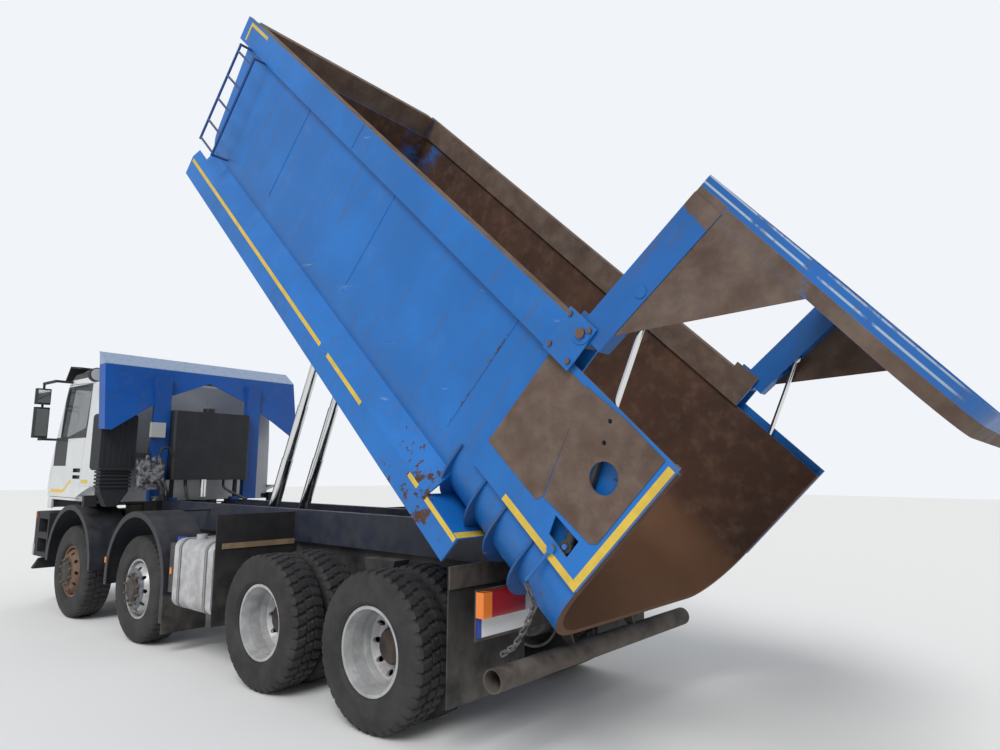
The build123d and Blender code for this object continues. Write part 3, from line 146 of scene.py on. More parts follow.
class Tree:
    """Short ways to add and link nodes in one node tree."""

    def __init__(self, tree: Group) -> None:
        """Keep the node tree."""
        self.tree = tree

    def add(self, kind: str) -> bpy.types.Node:
        """A new shader node."""
        return self.tree.nodes.new("ShaderNode" + kind)

    def put(self, socket: Socket, value: Value) -> None:
        """Link a socket, or set its value; a colour may lack its alpha.

        Args:
            socket: The socket to feed.
            value: A socket, a number, a vector or a colour.
        """
        if isinstance(value, bpy.types.NodeSocket):
            self.tree.links.new(value, socket)
        else:
            socket.default_value = (*value[:3], 1.0) if socket.type == "RGBA" else value

    def math(self, kind: str, a: Number, b: Number = 0.0) -> Socket:
        """Result of a maths node.

        Args:
            kind: What the node works out.
            a: First number.
            b: Second number.

        Returns:
            The node's result.
        """
        node = self.add("Math")
        node.operation = kind
        self.put(node.inputs[0], a)
        self.put(node.inputs[1], b)
        return node.outputs[0]

    def most(self, *masks: Number) -> Socket:
        """Largest of some masks."""
        return reduce(lambda a, b: self.math("MAXIMUM", a, b), masks)

    def both(self, *masks: Number) -> Socket:
        """Product of some masks."""
        return reduce(lambda a, b: self.math("MULTIPLY", a, b), masks)

    def mix(self, amount: Number, a: Value, b: Value) -> Socket:
        """Colour between two colours.

        Args:
            amount: Share of the second colour.
            a: First colour.
            b: Second colour.

        Returns:
            The colour.
        """
        node = self.add("Mix")
        node.data_type = "RGBA"
        for i, value in ((0, amount), (6, a), (7, b)):
            self.put(node.inputs[i], value)
        return node.outputs[2]

    def step(self, value: Number, low: Number, high: Number, a: float = 0.0, b: float = 1.0) -> Socket:
        """Smooth change from a to b as value goes from low to high.

        Args:
            value: What is read.
            low: Where the change starts.
            high: Where it ends.
            a: Result up to low.
            b: Result from high.

        Returns:
            The result.
        """
        node = self.add("MapRange")
        node.interpolation_type = "SMOOTHSTEP"
        for name, v in zip(("Value", "From Min", "From Max", "To Min", "To Max"), (value, low, high, a, b)):
            self.put(node.inputs[name], v)
        return node.outputs[0]

    def between(self, value: Number, low: float, high: float, soft: float = 0.002) -> Socket:
        """One where a value lies between two limits."""
        return self.both(self.step(value, low - soft, low + soft), self.step(value, high + soft, high - soft))

    def noise(self, vector: Socket, scale: Number, detail: float = 4.0, stretch: Vec = (1, 1, 1),
              turn: float = 0.0) -> Socket:
        """Noise on a vector.

        Args:
            vector: Where the noise is read.
            scale: Cells per metre.
            detail: Octaves.
            stretch: Scale of each axis.
            turn: Turn of the pattern about Y, in degrees.

        Returns:
            The noise value.
        """
        place = self.add("Mapping")
        place.vector_type = "TEXTURE"
        self.put(place.inputs["Vector"], vector)
        self.put(place.inputs["Rotation"], (0.0, -math.radians(turn), 0.0))
        self.put(place.inputs["Scale"], tuple(1.0 / s for s in stretch))
        node = self.add("TexNoise")
        values = {"Vector": place.outputs[0], "Scale": scale, "Detail": detail, "Roughness": 0.6}
        for name, value in values.items():
            self.put(node.inputs[name], value)
        return node.outputs[0]

    def split(self, vector: Socket) -> tuple[Socket, ...]:
        """The three parts of a vector.

        Args:
            vector: The vector.

        Returns:
            Its x, y and z.
        """
        node = self.add("SeparateXYZ")
        self.put(node.inputs[0], vector)
        return tuple(node.outputs)

    def use(self, group: Group, **values: Value) -> dict[str, Socket]:
        """Place a node group and give back its outputs by name.

        Args:
            group: The node group.
            **values: What feeds its inputs, by name.

        Returns:
            Its output sockets by name.
        """
        node = self.add("Group")
        node.node_tree = group
        for name, value in values.items():
            self.put(node.inputs[name], value)
        return {o.name: o for o in node.outputs}


def new_group(name: str, inputs: dict[str, float | None], outputs: Sequence[str]) -> tuple:
    """Start a shader node group.

    Args:
        name: The group's name.
        inputs: Default of each input by name; a vector has none.
        outputs: Names of the outputs; Color is a colour and the others are numbers.

    Returns:
        The group, a Tree on it, its input sockets and the sockets of its output node.
    """
    group = bpy.data.node_groups.new(name, "ShaderNodeTree")
    for label, default in inputs.items():
        kind = "NodeSocketVector" if default is None else "NodeSocketFloat"
        socket = group.interface.new_socket(name=label, in_out="INPUT", socket_type=kind)
        if default is not None:
            socket.default_value = default
    for label in outputs:
        kind = "NodeSocketColor" if label == "Color" else "NodeSocketFloat"
        group.interface.new_socket(name=label, in_out="OUTPUT", socket_type=kind)
    start = group.nodes.new("NodeGroupInput")
    end = group.nodes.new("NodeGroupOutput")
    return group, Tree(group), [o for o in start.outputs if o.name], end.inputs


def patches_group() -> Group:
    """Ragged patches: two noises added, cut at a height that leaves the wanted cover.

    Returns:
        The group.
    """
    inputs = {"Vector": None, "Scale": 3.0, "Cover": 0.3, "Edge": 0.04}
    group, t, (vector, scale, cover, edge), out = new_group("patches", inputs, ["Mask"])
    coarse = t.noise(vector, scale, 6.0)
    fine = t.noise(vector, t.both(scale, 7.0), 3.0)
    height = t.math("ADD", t.both(coarse, 0.75), t.both(fine, 0.25))
    cut = t.step(cover, 0.0, 1.0, 0.72, 0.3)
    t.put(out["Mask"], t.step(height, cut, t.math("ADD", cut, edge)))
    return group


def rust_group() -> Group:
    """Rusty steel: three browns laid over each other by noises of three sizes.

    Returns:
        The group.
    """
    inputs = {"Vector": None, "Scale": 3.0, "Light": 0.3}
    group, t, (vector, scale, light), out = new_group("rust", inputs, ["Color", "Height"])
    broad = t.noise(vector, scale, 5.0)
    middle = t.noise(vector, t.both(scale, 5.0), 5.0)
    fine = t.noise(vector, t.both(scale, 30.0), 3.0)
    colour = t.mix(t.step(broad, 0.3, 0.7), (0.042, 0.019, 0.012), (0.075, 0.032, 0.018))
    colour = t.mix(t.both(t.step(middle, 0.42, 0.8), light), colour, (0.2, 0.118, 0.075))
    colour = t.mix(t.step(fine, 0.5, 0.8, 0.0, 0.35), colour, (0.03, 0.017, 0.013))
    t.put(out["Color"], colour)
    t.put(out["Height"], t.math("ADD", middle, t.both(fine, 0.5)))
    return group


def dust_group() -> Group:
    """Dust: more on faces that look up and lower down, broken by noise.

    Returns:
        The group.
    """
    inputs = {"Vector": None, "Normal": None, "Amount": 0.5, "Top": 1.5}
    group, t, (vector, normal, amount, top), out = new_group("dust", inputs, ["Mask"])
    low = t.step(t.split(vector)[2], 0.2, top, 0.9, 0.12)
    up = t.step(t.split(normal)[2], 0.2, 0.9, 0.0, 0.7)
    broken = t.step(t.noise(vector, 5.0, 7.0), 0.3, 0.72)
    t.put(out["Mask"], t.both(t.math("ADD", low, up), t.both(broken, amount)))
    return group


def slope_group(name: str, slope: Slope) -> Group:
    """Coordinates in a turned frame: along u and up w.

    Args:
        name: The group's name.
        slope: The turned frame.

    Returns:
        The group.
    """
    group, t, (vector,), out = new_group(name, {"Vector": None}, ["Along", "Up"])
    x, _, z = t.split(vector)
    dx = t.math("SUBTRACT", x, slope.x)
    dz = t.math("SUBTRACT", z, slope.z)
    c, _, s = slope.axes[0]
    t.put(out["Along"], t.math("ADD", t.both(dx, c), t.both(dz, s)))
    t.put(out["Up"], t.math("SUBTRACT", t.both(dz, c), t.both(dx, s)))
    return group


PATCHES = patches_group()
RUST = rust_group()
DUST = dust_group()
TURNED = {BED: slope_group("in_bed", BED), GATE: slope_group("in_gate", GATE)}


class Skin(Tree):
    """A material's tree, with its shader's inputs and the coordinates of a surface point by name."""

    def __init__(self, material: bpy.types.Material) -> None:
        """Find the shader and name the coordinates.

        Args:
            material: A material with its Principled shader.
        """
        super().__init__(material.node_tree)
        self.inputs = self.tree.nodes["Principled BSDF"].inputs
        where = self.add("TexCoord")
        self.place = where.outputs["Object"]
        self.normal = where.outputs["Normal"]
        x, y, z = self.split(self.place)
        self.at = {"x": x, "y": y, "z": z, "side": self.math("ABSOLUTE", y),
                   "along": self.math("SUBTRACT", x, LAST_AXLE)}

    def turn(self, slope: Slope) -> None:
        """Add the coordinates and the facing in a turned frame; inward is below nought on inner faces.

        Args:
            slope: The turned frame.
        """
        place = self.use(TURNED[slope], Vector=self.place)
        facing = self.use(TURNED[slope], Vector=self.normal)
        zero = slope.axes @ (slope.x, 0.0, slope.z)
        self.at |= {"u": place["Along"], "w": place["Up"],
                    "facing_u": self.math("ADD", facing["Along"], zero[0]),
                    "facing_w": self.math("ADD", facing["Up"], zero[2]),
                    "inward": self.both(self.split(self.normal)[1], self.at["y"])}

    def within(self, steps: Steps) -> Number:
        """Product of steps, each with its coordinate, where it starts and where it is full."""
        return self.both(1.0, *(self.step(self.at[name], low, high) for name, low, high in steps))

    def feed(self, name: str, value: Value) -> None:
        """Link or set one of the shader's inputs."""
        self.put(self.inputs[name], value)

    def cover(self, mask: Number, colour: Union[Colour, Socket]) -> None:
        """Lay a colour over what the shader has, where the mask is one.

        Args:
            mask: Where the colour is laid.
            colour: The colour.
        """
        base = self.inputs["Base Color"]
        under = base.links[0].from_socket if base.links else tuple(base.default_value)
        self.put(base, self.mix(mask, under, colour))

    def cloud(self, scale: float, *shape: Union[float, Vec]) -> Socket:
        """Noise on the object's coordinates."""
        return self.noise(self.place, scale, *shape)

    def patches(self, scale: float, cover: Number, edge: float = 0.04) -> Socket:
        """Ragged patches over the given share of the surface."""
        return self.use(PATCHES, Vector=self.place, Scale=scale, Cover=cover, Edge=edge)["Mask"]

    def dust(self, amount: float, top: float) -> Socket:
        """Dust that thins out towards a height."""
        return self.use(DUST, Vector=self.place, Normal=self.normal, Amount=amount, Top=top)["Mask"]

    def bump(self, height: Number, strength: float, distance: float = 0.004) -> None:
        """Feed a height to the shader's normal.

        Args:
            height: The height.
            strength: Share of it that is used.
            distance: Metres that a height of one stands for.
        """
        node = self.add("Bump")
        self.put(node.inputs["Strength"], strength)
        self.put(node.inputs["Distance"], distance)
        self.put(node.inputs["Height"], height)
        self.feed("Normal", node.outputs[0])


def band(name: str, low: float, high: float, soft: float = 0.002) -> Steps:
    """Steps that leave only what lies between two limits of a coordinate."""
    return (name, low - soft, low + soft), (name, high + soft, high - soft)


def shade(colour: Colour, share: float) -> Colour:
    """A colour made darker."""
    return tuple(c * share for c in colour)


# Finishes

@dataclass(frozen=True)
class Finish:
    """A plain finish, and the base of the others; zones are laid over it last."""

    name: str
    colour: Colour
    roughness: float = 0.5
    metallic: float = 0.0
    coat: float = 0.0
    transmission: float = 0.0
    zones: tuple[tuple[Steps, Colour], ...] = ()

    def surface(self, s: Skin) -> None:
        """Link what varies over the surface; a plain finish has nothing."""

    def build(self) -> bpy.types.Material:
        """The material, made once.

        Returns:
            The material.
        """
        if self.name in bpy.data.materials:
            return bpy.data.materials[self.name]
        material = bpy.data.materials.new(self.name)
        material.use_nodes = True
        material.diffuse_color = (*self.colour, 1.0)
        s = Skin(material)
        values = {"Base Color": self.colour, "Roughness": self.roughness, "Metallic": self.metallic,
                  "Coat Weight": self.coat, "Transmission Weight": self.transmission}
        for name, value in values.items():
            s.feed(name, value)
        self.surface(s)
        for steps, colour in self.zones:
            s.cover(s.within(steps), colour)
        return material


@dataclass(frozen=True)
class Dusty(Finish):
    """A finish under road dust."""

    dust: float = 0.5
    top: float = 1.5
    dust_colour: Colour = (0.21, 0.185, 0.155)
    mottle: float = 0.25
    grain: float = 0.15

    def surface(self, s: Skin) -> None:
        """Mottled colour with dust, and a roughness that follows it.

        Args:
            s: The material's tree.
        """
        s.cover(s.step(s.cloud(9.0), 0.35, 0.65), shade(self.colour, 1.0 - self.mottle))
        mask = s.dust(self.dust, self.top)
        s.cover(mask, self.dust_colour)
        s.feed("Roughness", s.step(mask, 0.0, 0.7, self.roughness, 0.9))
        s.bump(s.cloud(90.0, 3.0), self.grain, 0.002)


@dataclass(frozen=True)
class Rusty(Finish):
    """Bare rusty steel."""

    scale: float = 2.5
    light: float = 0.4

    def surface(self, s: Skin) -> None:
        """Browns with a pitted surface.

        Args:
            s: The material's tree.
        """
        rust = s.use(RUST, Vector=s.place, Scale=self.scale, Light=self.light)
        s.feed("Base Color", rust["Color"])
        s.bump(rust["Height"], 0.35)


class Place(Enum):
    """Which part of the blue steelwork a paint is for."""

    TUB = "tub"
    RAILS = "rail"
    FITTINGS = "fitting"
    FRAME = "frame"
    RIBS = "rib"
    GATE = "gate"
    GUARD = "guard"


@dataclass(frozen=True)
class Bare:
    """Where bare steel shows: a product of steps, in patches if a scale is given.

    The patches' cover is taken times the product of the steps in grow.
    """

    steps: Steps = ()
    grow: Steps = ()
    scale: float = 0.0
    cover: float = 1.0

    def mask(self, s: Skin) -> Number:
        """One where the steel is bare.

        Args:
            s: The material's tree.

        Returns:
            The mask.
        """
        inside = s.within(self.steps)
        if not self.scale:
            return inside
        return s.both(inside, s.patches(self.scale, s.both(s.within(self.grow), self.cover)))


INWARD = ("inward", 0.0, -0.1)
GUSSET = (*band("u", 0.0385, 0.83, 0.001), ("w", -0.046, -0.05))
BARE: dict[Place, tuple[Bare, ...]] = {
    # Inner faces, floor, back of the front wall, rear edge, scraped tail
    Place.TUB: (Bare((INWARD,)), Bare((("facing_w", 0.05, 0.1), ("w", -0.8, -0.85))),
                Bare((("facing_u", -0.5, -0.7), ("side", 1.18, 1.17))), Bare((("u", 0.0475, 0.0465),)),
                Bare((), (("u", 0.45, 0.05), ("w", -1.25, -0.95)), 2.2, 0.5)),
    # Top edge, inner faces, back of the front block
    Place.RAILS: (Bare((("facing_w", 0.8, 0.9), ("w", 0.05, 0.1)), (), 5.0, 0.85),
                  Bare((INWARD, ("side", 1.17, 1.16))),
                  Bare((("facing_u", -0.7, -0.9), ("u", 3.0, 4.0), ("side", 1.15, 1.14)))),
    # Cover plates, rear edge, faces that look up
    Place.FITTINGS: (Bare((("side", 1.2692, 1.2698), ("side", 1.285, 1.283), *band("u", 0.1, 1.056),
                           *band("w", -0.81, -0.075))),
                     Bare((("u", 0.1, 0.05),), (), 8.0, 0.35),
                     Bare((), (("facing_w", 0.5, 0.7),), 4.0, 0.85)),
    # Inside of the sheet, outside and inside of the gussets, edge of the sheet, arms' ends
    Place.GATE: (Bare((("facing_u", 0.3, 0.5), ("w", 0.14, 0.13), ("side", 1.27, 1.26))),
                 Bare((("side", 1.2755, 1.2758), ("side", 1.2862, 1.2858), *GUSSET)),
                 Bare((INWARD, *GUSSET)),
                 Bare((*band("u", -0.032, 0.038), ("w", -0.03, -0.06), ("facing_u", -0.5, -0.3)), (),
                      5.0, 0.9),
                 Bare((("w", -0.06, -0.04),), (("u", 0.2, 0.02), ("u", -0.06, -0.02)), 4.0, 0.95)),
    # Upper lip
    Place.GUARD: (Bare((("z", 3.005, 3.02),), (), 3.0, 0.15),),
    # Where the load spills over the rear half of the skirts
    Place.FRAME: (Bare((), (("u", 2.6, 1.1), ("u", 0.9, 1.15), ("side", 1.1, 1.22)), 13.0, 0.5),),
    Place.RIBS: (Bare((), (), 13.0, 0.35),),
}


@dataclass(frozen=True)
class BluePaint(Finish):
    """Blue paint with chips, dirt and rust, and bare rusty steel where the load rubs."""

    place: Place = Place.FRAME
    chips: float = 0.06
    dirt: float = 0.4
    pale_scratch_and_highlight: Colour = (0.36, 0.44, 0.54)
    soil: Colour = (0.085, 0.075, 0.07)
    ladder: Colour = (0.006, 0.07, 0.26)

    def worn(self, s: Skin) -> Socket:
        """Mask of pale paint: real scratches, and a painted highlight along the edges of the gate's ribs; on
        the guard, everything above 3.0 m.

        Args:
            s: The material's tree.

        Returns:
            The mask.
        """
        if self.place is Place.GUARD:
            return s.step(s.at["z"], 3.0, 3.004, 0.0, 0.75)
        scratches = s.step(s.cloud(1.6, 8.0, (1.0, 1.0, 7.0), BED_ANGLE - 35.0), 0.66, 0.74, 0.0, 0.5)
        if self.place is not Place.GATE:
            return scratches
        u = s.at["u"]
        # Two pale lines along the edges of the gate's ribs: a painted highlight, broken up by noise below
        lines = s.most(s.between(u, -0.105, -0.097), s.between(u, -0.068, -0.058))
        broken = s.step(s.cloud(5.0, 6.0), 0.36, 0.46)
        return s.most(s.both(lines, broken, s.step(s.at["side"], 1.1, 1.2)), scratches)

    def steel(self, s: Skin, rust: Socket) -> Socket:
        """Colour of the bare steel: rust with paler runs, orange low in the tub and dusty outside it.

        Args:
            s: The material's tree.
            rust: Colour of the rust.

        Returns:
            The colour.
        """
        runs = s.step(s.cloud(1.3, 6.0, (1.0, 5.0, 0.5), BED_ANGLE), 0.4, 0.75, 0.0, 0.55)
        steel = s.mix(runs, rust, (0.105, 0.052, 0.03))
        if self.place is Place.TUB:
            low = s.within((("w", -0.95, -1.2), ("u", 2.6, 0.8)))
            steel = s.mix(s.both(low, 0.75), steel, (0.125, 0.056, 0.024))
        if self.place in (Place.GATE, Place.FITTINGS, Place.RAILS):
            dusty = s.step(s.cloud(4.0, 7.0), 0.25, 0.75, 0.2, 0.7)
            steel = s.mix(dusty, steel, (0.175, 0.135, 0.11))
        return steel

    def surface(self, s: Skin) -> None:
        """Paint under dirt and chips, then the bare steel; scuffs leave some paint on it.

        Args:
            s: The material's tree.
        """
        on_gate = self.place is Place.GATE
        s.turn(GATE if on_gate else BED)
        s.cover(s.step(s.cloud(1.1, 5.0), 0.35, 0.65), shade(self.colour, 0.8))
        faded = tuple(c * 0.85 + 0.05 for c in self.colour)
        s.cover(s.step(s.cloud(3.5, 8.0), 0.55, 0.85, 0.0, 0.45), faded)
        # Pale paint on real scratches, and a painted highlight along the gate's rib edges
        s.cover(self.worn(s), self.pale_scratch_and_highlight)
        if self.place is Place.FITTINGS:
            s.cover(s.step(s.at["u"], 3.0, 4.0), self.ladder)
        streaks = s.cloud(2.0, 6.0, (9.0, 9.0, 0.9), BED_ANGLE)
        s.cover(s.both(s.step(streaks, 0.5, 0.8), self.dirt), self.soil)
        behind = 0.0 if on_gate else s.step(s.at["u"], 2.4, 0.0, 0.0, 0.2)
        spots = s.patches(9.0, s.math("ADD", behind, self.chips), 0.02)
        rust = s.use(RUST, Vector=s.place, Scale=1.6, Light=0.45)
        rubbed = s.cloud(1.7, 8.0, (1.0, 1.0, 3.0), BED_ANGLE)
        scuffs = s.step(rubbed, 0.66, 0.72)
        if self.place is Place.TUB:
            front = s.within((("u", 5.5, 6.0), ("w", -0.75, -0.25), ("side", 0.7, 1.1)))
            scuffs = s.both(s.step(rubbed, 0.4, 0.6), front)
        ground = s.most(spots, *(zone.mask(s) for zone in BARE[self.place]))
        shown = s.both(ground, s.step(scuffs, 0.0, 1.0, 1.0, 0.15))
        s.cover(shown, self.steel(s, rust["Color"]))
        s.feed("Roughness", s.step(ground, 0.0, 1.0, self.roughness, 0.85))
        s.bump(s.math("ADD", s.both(rust["Height"], ground), s.both(s.cloud(2.0, 2.0), 1.2)), 0.25)


@dataclass(frozen=True)
class Rim(Dusty):
    """Painted rim with a darker disc and a dirty iron hub; axles count from the last one."""

    axles: tuple[float, ...] = (0.0, 1.38)
    disc: Colour = (0.4, 0.41, 0.42)
    disc_radius: float = 0.18
    hub_radius: float = 0.13

    def surface(self, s: Skin) -> None:
        """Dust as on other pieces, then disc and hub by distance from the nearest axle.

        Args:
            s: The material's tree.
        """
        super().surface(s)
        high = s.math("POWER", s.math("ABSOLUTE", s.math("SUBTRACT", s.at["z"], HUB_Z)), 2.0)
        radius: Number = 10.0
        for axle in self.axles:
            along = s.math("ABSOLUTE", s.math("SUBTRACT", s.at["along"], axle))
            reach = s.math("SQRT", s.math("ADD", s.math("POWER", along, 2.0), high))
            radius = s.math("MINIMUM", radius, reach)
        dirt = s.step(s.cloud(14.0, 6.0), 0.35, 0.65)
        disc = s.mix(dirt, self.disc, shade(self.disc, 0.6))
        hub = s.mix(dirt, (0.03, 0.029, 0.03), (0.075, 0.05, 0.038))
        s.cover(s.step(radius, self.disc_radius, self.disc_radius - 0.004), disc)
        s.cover(s.step(radius, self.hub_radius, self.hub_radius - 0.002), hub)


@dataclass(frozen=True)
class Hydraulics(Dusty):
    """Black oil tank with bare valves beside it."""

    valves_y: float = 0.55

    def surface(self, s: Skin) -> None:
        """Dust on black, and steel farther out than the tank.

        Args:
            s: The material's tree.
        """
        super().surface(s)
        steel = s.mix(s.step(s.cloud(14.0), 0.4, 0.55), (0.24, 0.24, 0.25), (0.03, 0.03, 0.032))
        s.cover(s.step(s.at["y"], self.valves_y, self.valves_y + 0.01), steel)


@dataclass(frozen=True)
class RibbedGlass(Finish):
    """Lamp glass with fine upright ribs."""

    ribs: float = 500.0

    def surface(self, s: Skin) -> None:
        """The height is the sine of the place across the truck."""
        s.bump(s.math("SINE", s.both(s.at["y"], self.ribs)), 0.2, 0.001)


@dataclass(frozen=True)
class CabWhite(Finish):
    """White paint with a stripe and dark panes, each with its limits along, up and sideways."""

    panes: tuple = (((6.22, 6.66, 0.004), (1.8, 2.17, 0.004), (1.08, 1.09)),
                    ((5.62, 6.5, 0.01), (2.15, 2.84, 0.006), (1.06, 1.07)),
                    ((5.21, 6.8, 0.004), (0.0, 3.04, 0.01), (1.098, 1.095)),
                    ((5.7, 5.96, 0.004), (1.63, 1.78, 0.004), (1.1445, 1.1435)))

    def surface(self, s: Skin) -> None:
        """White under dust and streaks, then the stripe, then black on the panes.

        Args:
            s: The material's tree.
        """
        along, z, side = s.at["along"], s.at["z"], s.at["side"]
        dust = s.dust(0.55, 2.2)
        streak = s.step(s.cloud(4.0, 6.0, (6.0, 6.0, 0.7)), 0.52, 0.85, 0.0, 0.35)
        s.cover(s.most(dust, streak), (0.3, 0.27, 0.23))
        rise = s.step(along, 6.28, 5.98, 0.0, 0.131)
        gap = s.math("SUBTRACT", 1.0, s.between(along, 5.66, 5.98))
        stripe = s.both(s.between(s.math("SUBTRACT", z, rise), 1.456, 1.502), s.between(along, 5.44, 6.68),
                        s.step(side, 1.13, 1.14), gap)
        s.cover(stripe, (0.72, 0.46, 0.02))
        black = s.most(*(s.both(s.between(along, *length), s.between(z, *height), s.step(side, *edge))
                         for length, height, edge in self.panes))
        s.cover(black, (0.022, 0.022, 0.024))
        s.feed("Roughness", s.step(s.most(dust, black), 0.0, 0.8, self.roughness, 0.75))


@dataclass(frozen=True)
class Tyre(Finish):
    """Rubber with dust in the tread and along the bead."""

    def surface(self, s: Skin) -> None:
        """Rubber, browner where the road dirt sits.

        Args:
            s: The material's tree.
        """
        film = s.step(s.cloud(6.0, 6.0), 0.35, 0.7, 0.1, 0.6)
        specks = s.step(s.cloud(40.0, 4.0), 0.6, 0.7, 0.0, 0.5)
        s.cover(s.most(film, specks), (0.05, 0.046, 0.043))
        s.bump(s.cloud(160.0, 3.0), 0.25, 0.001)


STRAPS = (2.29, 2.78)
STRAP_ZONES = tuple((band("along", x - half, x + half, 0.0005), colour)
                    for half, colour in ((0.0226, (0.015, 0.015, 0.016)), (0.015, (0.22, 0.22, 0.23)))
                    for x in STRAPS)
TANK_CAP = ((("z", 1.0605, 1.0615), ("y", 1.05, 1.06)), (0.01, 0.05, 0.35))
PALE_BOX = ((("y", 0.55, 0.56), ("z", 2.1, 2.11)), (0.42, 0.43, 0.42))
PLATE_END = ((("y", 1.193, 1.194),), (0.006, 0.045, 0.33))
LAMP_ZONES = (((), (0.3, 0.006, 0.005)), ((("side", 1.16, 1.161),), (0.78, 0.19, 0.01)),
              ((("side", 0.831, 0.829),), (0.5, 0.5, 0.48)), ((("x", 0.0, 0.1),), (0.55, 0.57, 0.58)))

BLUE: Colour = (0.008, 0.16, 0.53)
DARK: Colour = (0.02, 0.02, 0.022)
BLUES = {place.value: BluePaint(place.value + "_blue", colour, rough, place=place, chips=chips, dirt=dirt)
         for place, colour, rough, chips, dirt in (
             (Place.TUB, BLUE, 0.42, 0.06, 0.4), (Place.RAILS, BLUE, 0.42, 0.06, 0.4),
             (Place.FITTINGS, BLUE, 0.42, 0.06, 0.4), (Place.FRAME, BLUE, 0.42, 0.06, 0.4),
             (Place.RIBS, (0.01, 0.1, 0.32), 0.5, 0.15, 0.8),
             (Place.GATE, (0.008, 0.125, 0.43), 0.45, 0.22, 0.6),
             (Place.GUARD, (0.003, 0.09, 0.4), 0.42, 0.1, 0.6))}
CAB_PAINT = CabWhite("cab_paint", (0.66, 0.68, 0.69), 0.28, coat=0.3)
CHASSIS_BLACK = Dusty("chassis_black", (0.018, 0.02, 0.026), 0.55, dust=0.55, top=1.6)
SUBFRAME_BLACK = Dusty("subframe_black", (0.012, 0.02, 0.045), 0.45, dust=0.45, top=1.8)
IRON = Dusty("cast_iron", (0.075, 0.07, 0.065), 0.7, dust=0.6)
PLASTIC = Dusty("black_plastic", DARK, 0.45, dust=0.55, top=1.6)
RUBBER_SHEET = Dusty("rubber_sheet", (0.016, 0.016, 0.017), 0.7, dust=0.45, top=1.2)
FUEL_TANK = Dusty("fuel_tank", (0.52, 0.52, 0.54), 0.35, dust=0.75, top=1.3, zones=STRAP_ZONES)
SIDE_BOXES = Dusty("side_boxes", DARK, 0.45, dust=0.55, top=1.6, zones=(TANK_CAP,))
HYDRAULICS = Hydraulics("hydraulics", (0.014, 0.016, 0.02), 0.5, dust=0.4, top=1.6, zones=(PALE_BOX,))
PIPE_BROWN = Dusty("pipe_brown", (0.085, 0.066, 0.055), 0.75, dust=0.5, top=1.2, mottle=0.5, grain=0.4)
MIRROR = Finish("mirror", (0.8, 0.82, 0.83), 0.03, metallic=1.0)
CHROME = Dusty("chrome", (0.62, 0.62, 0.63), 0.16, metallic=1.0, dust=0.12, top=0.6, mottle=0.08, grain=0.02)
HOIST_BLACK = Dusty("hoist_black", (0.03, 0.03, 0.032), 0.4, dust=0.3)
GUARD_BLACK = Dusty("guard_black", (0.01, 0.013, 0.022), 0.5, dust=0.22, top=1.4)
CHAIN = Dusty("chain_steel", (0.15, 0.14, 0.135), 0.5, metallic=0.6, dust=0.3)
STEEL_RUST = Rusty("rusty_steel", (0.12, 0.06, 0.04), 0.85)
RIM_SILVER = Rim("rim_silver", (0.56, 0.57, 0.58), 0.42, metallic=0.35, dust=0.4, top=1.3)
RIM_STEER = Rim("rim_steer", (0.5, 0.51, 0.52), 0.42, metallic=0.35, dust=0.4, top=1.3, axles=(3.755,),
                disc=(0.17, 0.18, 0.2), disc_radius=0.215)
RIM_BROWN = Rim("rim_brown", (0.16, 0.095, 0.06), 0.7, dust=0.8, top=1.4, dust_colour=(0.16, 0.1, 0.065),
                axles=(5.602,), disc=(0.1, 0.062, 0.042))
TYRE = Tyre("tyre_rubber", (0.012, 0.012, 0.014), 0.75)
GLASS = Finish("glass", (0.42, 0.47, 0.47), 0.03, transmission=0.92)
LENS = RibbedGlass("lamp_glass", (0.5, 0.02, 0.01), 0.12, coat=0.6, zones=LAMP_ZONES)
CLEAR = Finish("lamp_clear", (0.55, 0.58, 0.6), 0.08, coat=0.5)
AMBER = Finish("amber", (0.85, 0.26, 0.015), 0.2, coat=0.5)
PLATE = Finish("blank_plate", (0.7, 0.7, 0.68), 0.35, zones=(PLATE_END,))
TAPE = Dusty("yellow_tape", (0.72, 0.5, 0.06), 0.5, dust=0.15, mottle=0.15)
TRIM = Finish("trim_grey", (0.06, 0.06, 0.064), 0.7)
NUTS = Dusty("nuts", (0.2, 0.16, 0.13), 0.55, metallic=0.6, dust=0.4)
HOSE = Dusty("hose", (0.016, 0.016, 0.017), 0.6, dust=0.35)
WOOD = Dusty("wood", (0.33, 0.23, 0.13), 0.8, dust=0.4)
FLOOR = Finish("floor", (0.8, 0.8, 0.79), 0.9)

# Finish by the start of a node's name; the first that fits is taken
CAD_FINISHES: dict[str, Finish] = {
    "tyre": TYRE, "rim_1": RIM_BROWN, "rim_2": RIM_STEER, "rim": RIM_SILVER, "lamps": LENS,
    "tipper_subframe": SUBFRAME_BLACK, "engine_block": IRON, "fuel_tank": FUEL_TANK, "side_boxes": SIDE_BOXES,
    "front_bumper": PLASTIC, "rear_bumper": PIPE_BROWN, "mudguards": GUARD_BLACK, "mudflaps": RUBBER_SHEET,
    "hydraulics": HYDRAULICS, "air_intake": PLASTIC, "mirrors": PLASTIC, "cab_guard": BLUES["guard"],
    "cab_shell": CAB_PAINT, "cab_glass": GLASS, "cab_trim": PLASTIC, "cab_interior": TRIM,
    "door_glass": GLASS, "door": CAB_PAINT, "bed_tub": BLUES["tub"], "bed_rails": BLUES["rail"],
    "bed_skirts": BLUES["frame"], "bed_fittings": BLUES["fitting"], "bed": BLUES["rib"],
    "tailgate": BLUES["gate"], "gate_barrels": HOIST_BLACK, "gate_rods": CHROME,
    "hoist_barrels": HOIST_BLACK, "hoist_stage": CHROME, "safety_chain": CHAIN, "": CHASSIS_BLACK,
}


def dress_frame() -> None:
    """Give every CAD node its finish."""
    for name, node in frame["nodes"].items():
        material = next(f for start, f in CAD_FINISHES.items() if name.startswith(start)).build()
        if not node.material_slots:
            node.data.materials.append(material)
        for slot in node.material_slots:
            slot.material = material


# Mesh building blocks

